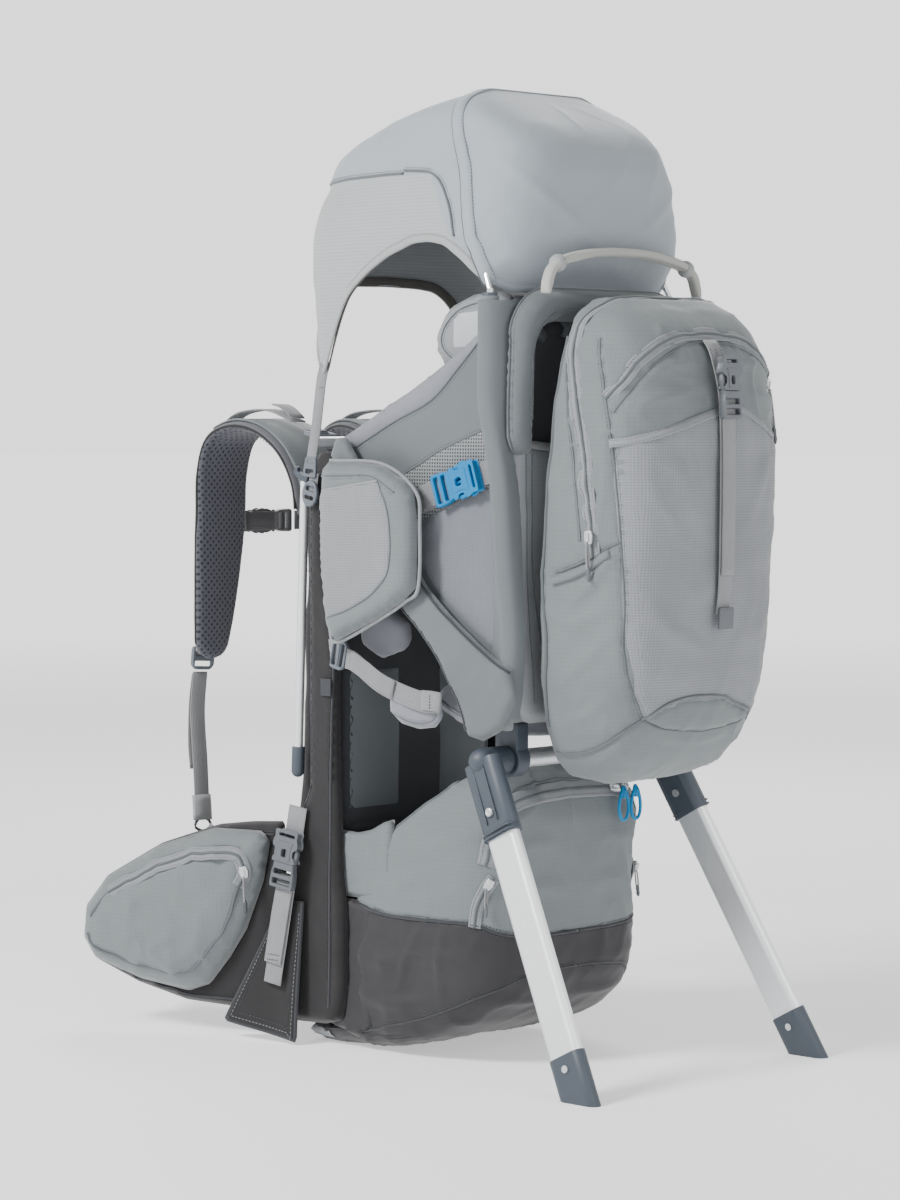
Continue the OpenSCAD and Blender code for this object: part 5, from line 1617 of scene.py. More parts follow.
def shrunk(z, qs):
    """Rings at one height that close the end of a bag."""
    return [[low_point(2 * math.pi * i / LOW_POINTS, z, q) for i in range(LOW_POINTS)] for q in qs]


boot_rows = shrunk(0.3, (0.03, 0.35, 0.7)) + low_rows(list(1 - np.cos(np.linspace(0, math.pi / 2, 40))),
                                                     lambda y: 0.3, seam_z)
cargo_rows = low_rows(list(np.sin(np.linspace(0, math.pi / 2, 44))), seam_z, lambda y: 291.5)
cargo_rows += shrunk(291.8, (0.7, 0.35, 0.03))
BOOT_FOLDS = [([(118, 20, 60), (118, -30, 52), (116, -90, 62)], 2.6, 9),
              ([(118, 30, 100), (118, -20, 92), (118, -80, 104), (115, -140, 96)], 2.2, 10),
              ([(114, -10, 24), (112, -50, 30), (110, -90, 44)], 2.4, 7),
              ([(117, 0, 130), (118, -60, 120), (116, -120, 128)], 1.6, 7),
              ([(90, -150, 66), (50, -158, 60), (10, -160, 64)], 2.0, 8),
              ([(104, -158, 104), (60, -170, 96), (16, -171, 102)], 1.8, 9)]
CARGO_FOLDS = [([(116, 20, 178), (117, -30, 170), (117, -90, 186)], 2.6, 10),
               ([(117, -10, 160), (117, -60, 156), (116, -120, 164)], 2.0, 8),
               ([(114, -60, 232), (115, -90, 222), (114, -140, 226)], 2.4, 9),
               ([(116, -20, 200), (116, -70, 204), (116, -120, 214)], 1.8, 8),
               ([(84, -168, 160), (50, -172, 172), (12, -172, 166)], 2.0, 10),
               ([(90, -168, 206), (60, -172, 214), (30, -172, 210)], 1.6, 9),
               ([(100, -150, 150), (108, -130, 158), (112, -100, 150)], 1.6, 8)]
cargo_arch = [(-107, -148, 196), (-104, -156, 226), (-92, -163, 250), (-64, -166, 261), (-20, -166, 264)]
boot = bag_mesh("base_boot_cloth", boot_rows, BOOT, "frame", [], ridges=on_each(BOOT_FOLDS), soft=0.7,
                hides=["base_boot"], slot="boot_fabric")
cargo = bag_mesh("cargo_bag_cloth", cargo_rows, RIPSTOP, "frame", [both_sides(cargo_arch)], ridges=on_each(CARGO_FOLDS),
                 soft=0.8, hides=["cargo_bag"], slot="shell_fabric")
low_surf = Surface(boot, cargo)
for tag, s in SIDES.items():
    seam(f"boot_seam_{tag}", low_surf, [(s * 116, 36, 148), (s * 117, -28, 138), (s * 117, -100, 139),
                                        (s * 113, -138, 139), (s * 98, -162, 130), (s * 60, -171, 126), (0, -172, 126)],
         SHADOW, "frame", r=1.5, both=(3.2, -3.2), thread=THREAD_DARK)
    seam(f"cargo_front_piping_{tag}", low_surf, [(s * 114, 34, 166), (s * 113, 16, 202), (s * 111, -52, 248),
                                                 (s * 96, -100, 276)], SEAM_DARK, "frame", r=1.4, both=(3.2,),
         thread=THREAD)
    seam(f"boot_panel_seam_{tag}", low_surf, [(s * 110, 30, 18), (s * 112, -20, 26), (s * 112, -80, 44),
                                              (s * 106, -130, 66), (s * 80, -160, 84), (s * 40, -169, 90),
                                              (0, -170, 91)], THREAD_DARK, "frame", r=0.8, both=(2.8,),
         thread=THREAD_DARK)
    side_zip = [(s * 113, -138, 136), (s * 114, -142, 156), (s * 112, -150, 172), (s * 106, -158, 184)]
    p, u = zip_line(f"cargo_side_zip_{tag}", low_surf, side_zip, "frame", width=13)
    slider(f"cargo_side_slider_{tag}", p[-3] + u[-3] * 0.6, (p[-3] - p[-5], u[-3]), STEEL, "frame", long=11)
    cord_pull(f"cargo_side_pull_{tag}", p[-4] + u[-4] * 4, p[-4] + u[-4] * 6 + arr([0, 0, -20]), CORD_GREY, "frame",
              grip=BUCKLE, r=0.8, grip_r=2)
    panel(f"boot_abrasion_patch_{tag}", Surface(boot), [(60, 6), (102, 6), (103, 16), (84, 20), (62, 18)], "side",
          RIPSTOP_PALE, "frame", s, ray=(-1, 0, 0), lift=1.0, puff=0.6, edge=8, step=4)
zip_line("cargo_arch_zip", low_surf, both_sides(cargo_arch), "frame", width=18, lift=0.9)
cap_line = [(p[0], p[1] - 1, p[2] + 14) for p in cargo_arch[1:]]
seam("cargo_flap_seam", low_surf, both_sides(cap_line), SEAM_DARK, "frame", r=0.9, both=(2.8,), thread=THREAD)
for tag, x in (("left", 60), ("right", 78)):
    sl, un = low_surf.lay([(x - 3, -168, 262), (x, -168, 261.4), (x + 3, -168, 260.6)], 1.0)
    slider(f"cargo_slider_{tag}", sl[1], (sl[-1] - sl[0], un[1]), STEEL, "frame")
    loop = [(x, -177, 262), (x + 3, -178, 257), (x + 6.6, -178, 246), (x + 6.4, -178, 236), (x + 3, -178, 229.6),
            (x - 3, -178, 229.6), (x - 6.4, -178, 236), (x - 6.6, -178, 246), (x - 3, -178, 257), (x, -177, 262)]
    tube(f"cargo_pull_loop_{tag}", curve(loop, 5), 1.7, CYAN_CORD, f"zip_pull_{tag}", sides=8, step=2,
         hides=[f"cargo_zip_pull_{tag}"], slot="cyan_cord")
    tube(f"cargo_pull_whip_{tag}", [(x, -177.6, 259.5), (x, -178, 255), (x, -178, 250.5)], 3.0, CYAN, f"zip_pull_{tag}",
         sides=12, step=1.5, radii=[2.4, 3.2, 3.2, 2.4])

# Cloth gusset that closes the side between the boot and bag and the side strip
GUSSET_LOW = [(66, 24), (66, 149), (30, 149), (-6, 145), (-6, 24), (20, 12)]
GUSSET_HIGH = [(66, 150.5), (66, 236), (56, 224), (40, 216), (20, 215), (2, 219), (-16, 228), (-30, 232), (-30, 150.5)]
for tag, s in SIDES.items():
    pillow(f"base_side_gusset_{tag}", GUSSET_LOW, "side", 104, 116.6, BOOT, "frame", s, round_low=3, round_high=3,
           step=4, wave=0.9, scale=26, seed=4.0)
    pillow(f"cargo_side_gusset_{tag}", GUSSET_HIGH, "side", 104, 115.6, RIPSTOP, "frame", s, round_low=3, round_high=3,
           step=4, wave=0.9, scale=26, seed=6.0)

# ---------------------------------------------------------------- back panel and side strips

BACK_POINTS = 120
PANEL_YF = [[22, 100], [30, 108], [100, 124], [180, 126], [260, 112], [420, 108], [560, 109], [580, 106], [590, 98]]
PANEL_W = [[22, 100], [30, 106], [100, 110], [180, 110], [260, 107], [420, 105], [560, 101], [580, 97], [590, 90]]


def back_ring(z, q=1.0):
    """A ring of the back panel at a height, drawn in to a share q of its size."""
    w, front = look(PANEL_W, z, 4), look(PANEL_YF, z, 14)
    mid = (front + 59) / 2
    row = []
    for i in range(BACK_POINTS):
        a = 2 * math.pi * i / BACK_POINTS
        c, s = math.cos(a), math.sin(a)
        r = q * ((abs(c) / w) ** 6 + (abs(s) / (front - mid)) ** 6) ** (-1 / 6)
        row.append((r * c, mid + r * s, z))
    return row


panel_rows = [back_ring(22, q) for q in (0.05, 0.5, 0.85)] + [back_ring(z) for z in np.linspace(23, 589, 80)]
panel_rows += [back_ring(590, q) for q in (0.85, 0.5, 0.05)]
back_lines = [[(x, 112, 210), (x, 112, 330), (x, 112, 470), (x * 0.9, 112, 560)] for x in (-26, 26)]
back_lines += [[(-100, 112, z), (-50, 114, z + 8), (0, 114, z + 10), (50, 114, z + 8), (100, 112, z)] for z in (196,
                                                                                                                340,
                                                                                                                470)]
back = bag_mesh("back_panel_pad", panel_rows, CHARCOAL, "frame", back_lines, 4.5, 7, soft=0.5, hides=["back_panel"],
                slot="back_fabric")
back_surf = Surface(back)
OUT = (0, -1, 0)
lumbar = on_both([(10, 50), (60, 52), (88, 66), (94, 110), (92, 160), (74, 186), (34, 192)])
panel("back_lumbar_pad", back_surf, lumbar, "rear", SPACER, "frame", ray=OUT, lift=0.8, puff=4.0, edge=22, wave=0.5,
      step=6)
for tag, s in SIDES.items():
    for k, (low, high) in enumerate(((222, 330), (352, 462), (482, 566))):
        pad = [(s * 34, low), (s * 86, low + 2), (s * 93, low + 16), (s * 90, high - 14), (s * 82, high),
               (s * 36, high), (s * 32, high - 12), (s * 31, low + 12)]
        panel(f"back_pad_{tag}_{k}", back_surf, pad[::int(s)], "rear", SPACER, "frame", ray=OUT, lift=0.8, puff=4.0,
              edge=18, wave=0.4, step=6)
for k, line in enumerate(back_lines):
    seam(f"back_panel_seam_{k}", back_surf, line, SHADOW, "frame", r=0.9, thread=THREAD_DARK, ray=OUT)

STRIP = [(58, 22), (106, 20), (107, 60), (104, 150), (92, 230), (76, 262), (76, 400), (76, 556), (70, 569), (56, 571),
         (54, 556), (50, 470), (37, 425), (37, 300), (32, 168), (27, 140), (27, 60), (34, 28)]
strips = {}
for tag, s in SIDES.items():
    strips[s] = pillow(f"side_strip_{tag}", STRIP, "side", 112.5, 126, CHARCOAL, "frame", s, round_low=4, round_high=7,
                       step=6, wave=0.8, scale=50, hides=["side_strips"], slot="back_fabric")
strip_surf = Surface(strips[1])
for tag, s in SIDES.items():
    for part, line, mat, r in (("rear", [(46, 40), (44, 160), (43, 300), (42, 424), (54, 472), (58, 556)], SHADOW, 1.3),
                               ("front", [(103, 40), (100, 150), (88, 228), (72, 264), (72, 400), (72, 550)], SHADOW,
                                1.1)):
        seam(f"side_strip_seam_{part}_{tag}", strip_surf, [(128, y, z) for y, z in line], mat, "frame", s, r=r,
             both=(3.2 if part == "front" else -3.2,), thread=THREAD_DARK, ray=IN)
    plate(f"side_tab_{tag}", [box_line(0, 17, -7, 7, 0.8)], 1.4, on_strap((126.2, 48, 366), (126.2, 48, 349),
                                                                          (1, 0, 0)), SHADOW, "frame", s,
          round_edge=0.4)

    # Flap over the root of the hip wing
    top_a, top_b = arr([130.6, 104, 143]), arr([130.6, 78, 143])
    low_c, low_d = arr([139, 80, 4.5]), arr([150.6, 167, 18])
    grid = []
    for t in np.linspace(0, 1, 26):
        rear = top_b + t * (low_c - top_b)
        fore = top_a + t * (low_d - top_a)
        row = [rear + q * (fore - rear) for q in np.linspace(0, 1, 18)]
        grid.append([p + arr([1.6 * math.sin(3 * t + 5 * q) * t, 0, 0]) for p, q in zip(row, np.linspace(0, 1, 18))])
    v, f = lattice(grid)
    flap = mesh(f"hip_flap_{tag}", v, f, CHARCOAL, "frame", s)
    thicken(flap, 3.0, 0)
    g = arr(grid)
    out = unit(np.cross(low_c - top_b, top_a - top_b))
    out = out if out[0] > 0 else -out
    edge = np.vstack([g[2:, 1], g[-2, 2:-2], g[2:-1, -2][::-1]]) + out * 1.6
    stitches(f"hip_flap_stitch_{tag}", edge, out, THREAD, "frame", s, pitch=4.2, long=2.8)
    inner_edge_line = np.vstack([g[3:-1, 2], g[-3, 3:-3], g[3:-2, -3][::-1]]) + out * 1.6
    stitches(f"hip_flap_stitch_inner_{tag}", inner_edge_line, out, THREAD_DARK, "frame", s, pitch=4.2, long=2.8)
    tube(f"hip_flap_edge_{tag}", np.vstack([g[:, 0], g[-1, 1:], g[::-1, -1][1:]]), 1.9, SHADOW, "frame", s, sides=8)

# ---------------------------------------------------------------- webbing and locks on the frame

for tag, s in SIDES.items():
    a, b = arr([129.4, 86, 232]), arr([145.4, 106, 60])
    d = b - a
    band(f"flap_strap_top_{tag}", [a - d * 0.03, a, a + 0.22 * d], 25, 1.8, WEB, "frame", side=(0, 1, 0), s=s)
    band(f"flap_strap_low_{tag}", [a + 0.36 * d, a + 0.6 * d, b], 24, 1.8, WEB, "frame", side=(0, 1, 0), s=s)
    tail = [a + 0.40 * d + arr([2.6, 0, 0]), a + 0.6 * d + arr([3.2, 0.6, 0]), a + 0.88 * d + arr([3.0, 1.2, 0])]
    band(f"flap_strap_tail_{tag}", tail, 23.5, 1.7, WEB, f"flap_buckle_{tag}", side=(0, 1, 0), s=s)
    for k, q in enumerate((0.83, 0.86)):
        m = a + q * d + arr([4.2, 1, 0])
        stitches(f"flap_strap_stitch_{tag}_{k}", [m + arr([0, -9, 0]), m + arr([0, 9, 0])], (1, 0, 0), THREAD_DARK,
                 f"flap_buckle_{tag}", s)
    mouth = a + 0.29 * d
    lift = arr([1.7, 0, 0])
    place = on_strap(mouth + lift, a + lift, (1, 0, 0))
    socket_half(f"flap_socket_{tag}", place, 34, BUCKLE, "frame", s, hides=["flap_sockets"], slot="grey_plastic")
    plug_half(f"flap_plug_moulding_{tag}", place, 34, BUCKLE, f"flap_buckle_{tag}", s, hides=[f"flap_plug_{tag}"],
              slot="grey_plastic")
    band(f"lower_tab_{tag}", curve([(106, 128, 148), (107, 165, 168), (109, 240, 198)], 6), 20, 1.8, WEB, "frame",
         side=(0, 0, 1), s=s)
    for k, y in enumerate((226, 233)):
        z = 192 + (y - 226) * 0.4
        stitches(f"lower_tab_stitch_{tag}_{k}", [(109.9, y, z - 7), (109.9, y, z + 7)], (1, 0, 0), THREAD_DARK, "frame",
                 s, pitch=2.8, long=1.9)
    lock_plate(f"lifter_lock_{tag}", on_strap((99, 86, 604), (98, 114, 610), (0, 0, 1)), 28, 24, 5, LOCK, "frame", s,
               hides=["frame_ladder_locks"])
    band(f"lifter_anchor_{tag}", [(99, 66, 598), (99, 78, 602), (99, 90, 604)], 19, 1.8, WEB, "frame", side=(1, 0, 0),
         s=s)
    band(f"lifter_bridge_{tag}", [(98.6, 84, 609), (97.4, 100, 612.4), (94.6, 118, 617)], 19, 1.8, WEB_PALE, "frame",
         side=(1, 0, 0), s=s)
    button = on_strap((128, 66, 548), (128, 70, 530), (1, 0, 0))
    plate(f"shade_button_{tag}", [[(13 * math.cos(t), 10.5 * math.sin(t)) for t in np.linspace(0, 2 * math.pi, 40,
                                                                                               False)],
                                  box_line(-7.4, -2.4, -6, 6, 1.6), box_line(2.2, 6.2, -6, 6, 1.6)], 4.2, button, LOCK,
          "frame", s, round_edge=1.3)
    band(f"shade_anchor_{tag}", [(126.6, 64, 568), (127.2, 65, 556), (127.6, 66, 546)], 12, 1.6, WEB_PALE, "frame",
         side=(0, 1, 0), s=s)
    lock_plate(f"stirrup_lock_{tag}", on_strap((127, 26, 391), (127, 0, 385), (1, 0, 0)), 30, 20, 5, LOCK, "frame", s)
    band(f"stirrup_anchor_{tag}", [(123, 48, 396), (126.4, 38, 394), (127.6, 27, 391)], 20, 1.8, WEB, "frame",
         side=(0, 0.2, 1), s=s)
    plate(f"upright_hook_{tag}", [rounded([(-9, -5), (6, -5), (12, -2), (12, 5), (8, 5), (7, 1), (-9, 2)], 1.6)], 5,
          on_strap((124, 80, 566), (124, 90, 570), (1, 0, 0)), SLATE, "frame", s, round_edge=1.2)

for node, mat, bevel in (("kickstand_crossbar", ALU, 0), ("elbow_left", SLATE, 0.9), ("elbow_right", SLATE, 0.9),
                         ("leg_left", ALU, 0), ("leg_right", ALU, 0), ("foot_left", SLATE, 1.2),
                         ("foot_right", SLATE, 1.2), ("kickstand_rivets", STEEL, 0.3)):
    dress(node, mat, bevel)
rake, splay, hinge = math.radians(-27.8), math.radians(-7.5), arr([129, -165, 298])


def leg_point(x, y, z):
    """A point given in the leg's own frame, on the right side."""
    x, z = x * math.cos(splay) + z * math.sin(splay), -x * math.sin(splay) + z * math.cos(splay)
    y, z = y * math.cos(rake) - z * math.sin(rake), y * math.sin(rake) + z * math.cos(rake)
    return hinge + arr([x, y, z])


for tag, s in SIDES.items():
    for k, depth in enumerate((-74.5, -70.5)):
        ring = []
        for q in range(40):
            t = 2 * math.pi * q / 40
            c, z = math.cos(t), math.sin(t)
            ring.append(leg_point(9.2 * c, (12 if z > 0 else -12) * min(1, abs(z) * 6) + 9.2 * z, depth))
        tube(f"elbow_collar_{tag}_{k}", ring + ring[:1], 0.9, SLATE, "kickstand", s, sides=8, step=3)
    screw = leg_point(10.2, 0, -52)
    out = leg_point(20, 0, -52) - leg_point(10, 0, -52)
    dome(f"elbow_screw_{tag}", screw, out, 4.4, STEEL, "kickstand", s, high=1.6)
    for k, x in enumerate((-7.0, 7.0)):
        tube(f"elbow_rib_{tag}_{k}", [leg_point(9.1, x, -8), leg_point(9.3, x, -30), leg_point(9.3, x, -62)], 0.8,
             SLATE, "kickstand", s, sides=6)

# ---------------------------------------------------------------- harness

ROUND = [(math.cos(t), math.sin(t)) for t in np.linspace(0, 2 * math.pi, 28, False)]


def strap_pad(name, path, widths, thick, mats, body, s=1, side=(1, 0, 0), step=5, ends=True, p=2.6, wave=0.5, seed=1.0,
              **kw):
    """A padded strap: a lens-shaped section along a path, rounded at its ends. mats are its inner and outer cloth."""
    path = even(path, step)
    across, up = frames(path, side)
    k = np.linspace(0, 1, len(path))
    w = np.interp(k, np.linspace(0, 1, len(widths)), widths)
    along = lengths(path)
    if ends:
        near = np.minimum(along, along[-1] - along)
        w = w * np.sqrt(1 - (1 - np.clip(near / (w * 0.42), 0, 1)) ** 2 * 0.96)
    rows = []
    for q, a, u, h, g in zip(path, across, up, w, np.minimum(along, along[-1] - along)):
        t = thick * (0.35 + 0.65 * min(1, g / 9) ** 0.5)
        row = []
        for c, z in ROUND:
            r = (abs(c) ** p + abs(z) ** p) ** (-1 / p)
            row.append(q + c * r * h / 2 * a + z * r * t / 2 * u)
        rows.append(row)
    v, f = lattice(rows, loop=True, caps=True)
    v = v + bump(v, 26, seed)[:, None] * wave * unit(v - np.repeat(path, len(ROUND), axis=0))
    obj = mesh(name, v, f, mats, body, s, **kw)
    if len(mats) > 1:
        n = len(ROUND)
        for i, poly in enumerate(obj.data.polygons):
            poly.material_index = 0 if (i % n) < n / 2 else 1
    return obj


STRAP = [(66, 121, 516), (66, 125, 556), (69, 143, 590), (73, 172, 610), (77, 206, 614), (81, 234, 600), (84, 244, 566),
         (87, 243, 524), (92, 242, 474), (98, 241, 424), (102, 243, 376)]
STRAP_W = [64, 66, 68, 70, 70, 69, 68, 66, 60, 52, 40]
for tag, s in SIDES.items():
    path = curve(STRAP, 6)
    pad = strap_pad(f"shoulder_strap_pad_{tag}", path, STRAP_W, 12.6, [SPACER, SPACER_PLAIN], "harness", s, step=4,
                    hides=[f"shoulder_strap_{tag}"], slot="spacer_mesh", seed=4 + s)
    even_path = even(path, 5)
    across, up = frames(even_path, (1, 0, 0))
    w = np.interp(np.linspace(0, 1, len(even_path)), np.linspace(0, 1, 11), STRAP_W)
    for k, e in enumerate((-1, 1)):
        line = even_path + across * (e * (w / 2 - 1.0))[:, None]
        tube(f"shoulder_strap_piping_{tag}_{k}", line[3:-3], 1.7, CHARCOAL, "harness", s, sides=8, flat=True)
        row = even_path + across * (e * (w / 2 - 6.5))[:, None] + up * 5.6
        stitches(f"shoulder_strap_stitch_{tag}_{k}", row[4:-4], up[4:-4], THREAD_DARK, "harness", s, pitch=3.8)
    # Cloth cover over the top of the shoulder, on the side away from the wearer
    top = slice(6, 36)
    band(f"shoulder_cover_{tag}", even_path[top] - up[top] * 6.4, w[top] * 0.84, 2.4, RIPSTOP, "harness",
         normals=-up[top], s=s, flat=True)
    for k, e in enumerate((-0.37, 0.37)):
        stitches(f"shoulder_cover_stitch_{tag}_{k}", even_path[top] + across[top] * (e * w[top])[:,
                                                                                                 None] - up[top] * 7.5,
                 -up[top], THREAD, "harness", s)
    low = slice(36, len(even_path) - 2)
    band(f"strap_rail_{tag}", even_path[low] - up[low] * 6.7, 15, 1.8, WEB, "harness", normals=-up[low], s=s, flat=True)
    lifter = curve([(82, 246, 606), (82, 222, 624), (84, 196, 630), (88, 160, 630), (93.6, 121, 619)], 6)
    # The webbing runs on through its locks as the harness moves down; it is given both bodies and two places, and
    # mesh() leaves it on no body
    lifter_run = ("harness", "frame", (s * 82, 232, 616), (s * 94, 126, 620))
    band(f"load_lifter_{tag}", lifter, 19.5, 1.8, WEB_PALE, lifter_run, side=(1, 0, 0), s=s, hides=["harness_webbing"],
         slot="webbing")
    tail = curve([(94.4, 121, 623), (93.4, 130, 629), (91, 142, 634), (87, 154, 636)], 6)
    band(f"load_lifter_tail_{tag}", tail, 19, 1.7, WEB_PALE, lifter_run, side=(1, 0, 0), s=s)
    stitches(f"load_lifter_stitch_{tag}", [(73, 240, 611.8), (91, 240, 611.8)], (0, 0.6, 0.8), THREAD_DARK, "harness",
             s)
    web = curve([(104, 256, 362), (106, 258, 320), (108, 252, 270), (110.5, 246, 214)], 6)
    web_run = ("harness", "frame", (s * 104, 256, 348), (s * 110, 247, 236))
    band(f"lower_web_{tag}", web, 20, 1.8, WEB, web_run, side=(1, 0, 0), s=s)
    loose = curve([(103.6, 258.4, 360), (104, 262.6, 330), (106, 262, 290), (107, 258, 262)], 6)
    band(f"lower_web_tail_{tag}", loose, 19.4, 1.7, WEB, web_run, side=(1, 0, 0), s=s)
    band(f"lower_web_cuff_{tag}", [(110, 248.4, 236), (110.4, 246.6, 222), (110.8, 245.4, 210)], 24, 4.2, BINDING,
         "frame", side=(1, 0, 0), s=s)
    for k, z in enumerate((232, 214)):
        stitches(f"lower_web_cuff_stitch_{tag}_{k}", [(100, 250.6, z), (121, 250.6, z)], (0, 1, 0.1), THREAD, "frame",
                 s, pitch=3)
    ring = curve([(110.6, 247, 213), (119, 246, 209), (121, 245, 203), (110.8, 244, 199), (100.5, 245, 203),
                  (102, 246, 209), (110.6, 247, 213)], 5)
    tube(f"lower_web_ring_{tag}", ring, 1.5, BUCKLE_DARK, "frame", s, sides=8, step=2)
    lock_plate(f"strap_lock_{tag}", on_strap((102.5, 251.5, 376), (104, 252.5, 350), (0, 1, 0)), 30, 24, 4.5, LOCK,
               "harness", s, hides=["strap_ladder_locks"])
    band(f"strap_lock_loop_{tag}", [(101.5, 249, 398), (102, 252.4, 386), (102.8, 255, 376)], 20, 1.8, WEB, "harness",
         side=(1, 0, 0), s=s)

yoke_pad = pillow("shoulder_yoke_pad", on_both([(12, 475), (22, 474.5), (30, 479), (32, 486), (26, 560), (22, 574),
                                                (12, 576)]), "rear", 117.5, 123, CHARCOAL, "harness", round_low=4,
                  round_high=5, step=4, wave=0.3, hides=["shoulder_yoke"], slot="back_fabric")
yoke_surf = Surface(yoke_pad)
seam("shoulder_yoke_seam", yoke_surf, [(-20, 124, 482), (-18, 124, 560), (0, 124, 570), (18, 124, 560), (20, 124, 482)],
     SEAM_DARK, "harness", r=0.7, both=(2.6,), thread=THREAD_DARK, ray=(0, -1, 0))
for z, k in ((500, 0), (528, 1), (552, 2)):
    band(f"yoke_ladder_{k}", [(-60, 124.6, z), (0, 124.9, z), (60, 124.6, z)], 12, 1.7, WEB_DARK, "harness",
         side=(0, 0, 1))

# Sternum strap
for k, (x0, x1) in enumerate(((-50, -6), (20, 50))):
    band(f"sternum_web_{k}", [(x0, 244, 516), ((x0 + x1) / 2, 244.3, 516), (x1, 244, 516)], 19.6, 1.8, WEB_DARK,
         "sternum", side=(0, 0, 1), hides=["sternum_strap"] if not k else (), slot="webbing")
for s in (1, -1):
    band(f"sternum_slide_{'right' if s == 1 else 'left'}", [(s * 44, 246.6, 516), (s * 47, 247.4, 516),
                                                            (s * 49.6, 248.8, 516)], 22, 3.6, BUCKLE_DARK, "sternum",
         side=(0, 0, 1))
chest = on_strap((-8, 245.6, 516), (-40, 245.6, 516), (0, 1, 0))
socket_half("sternum_socket", chest, 26, BUCKLE_DARK, "sternum")
plug_half("sternum_plug_moulding", chest, 26, BUCKLE_DARK, "sternum_buckle", hides=["sternum_plug"],
          slot="dark_plastic")

# ---------------------------------------------------------------- child seat


def saddle(v):
    """The seat rises towards its front and dips a little along its middle."""
    v = v.copy()
    v[:, 2] += 12 * np.clip((v[:, 1] + 74) / 60, 0, 1) - 2.5 * np.exp(-(v[:, 0] / 30) ** 2) * (v[:, 1] < -30)
    return v


seat = pillow("child_seat_cushion", [(-56, -148), (-58, -120), (-55, -70), (-44, -44), (-28, -6), (-12, 5), (12, 5),
                                     (28, -6), (44, -44), (55, -70), (58, -120), (56, -148), (40, -153), (-40, -153)],
              "top", 317, 349, LILAC, "seat", round_low=14, round_high=17, step=6, wave=0.5, bend=saddle,
              hides=["child_seat"], slot="pad_fabric")
settle(seat, cap=5)
seat_surf = Surface(seat)
for tag, s in SIDES.items():
    seam(f"seat_seam_{tag}", seat_surf, [(s * 40, -140, 360), (s * 38, -80, 360), (s * 24, -40, 360),
                                         (s * 12, -10, 372)], SEAM_DARK, "seat", r=0.9, both=(2.8, -2.8),
         thread=THREAD_DARK, ray=(0, 0, -1))
seam("seat_rim_seam", seat_surf, [(-59, -140, 333), (-57, -70, 333), (-30, -6, 346), (0, 6, 346), (30, -6, 346),
                                  (57, -70, 333), (59, -140, 333)], SEAM_DARK, "seat", r=1.1, thread=THREAD_DARK)

# ---------------------------------------------------------------- hip belt

turn = math.radians(14.4)


def at_wing(v):
    """From the wing's own frame, +Y along it and +X out of it, to the row frame."""
    v = arr(v)
    x, y = v[:, 0] * math.cos(turn) + v[:, 1] * math.sin(turn), -v[:, 0] * math.sin(turn) + v[:, 1] * math.cos(turn)
    return np.column_stack([x + 120, y + 110, v[:, 2]])


WING = [(2, 66), (0, 140), (3, 220), (40, 218), (80, 213), (150, 190), (214, 154), (240, 120), (243, 86), (232, 65),
        (180, 45), (120, 31), (50, 28)]
POUCH = [(14, 200), (24, 210), (80, 210), (150, 188), (211, 154), (238, 121), (241, 88), (226, 67), (170, 50),
         (112, 42), (86, 51), (62, 80), (42, 110), (22, 160)]


def fuller(v):
    """The pouch is fullest low down and towards its rear."""
    v = v.copy()
    k = np.exp(-((v[:, 1] - 128) / 95) ** 2 - ((v[:, 2] - 112) / 62) ** 2)
    out = v[:, 0] > 12
    v[out, 0] += (k[out] - 0.75) * 7
    return at_wing(v)


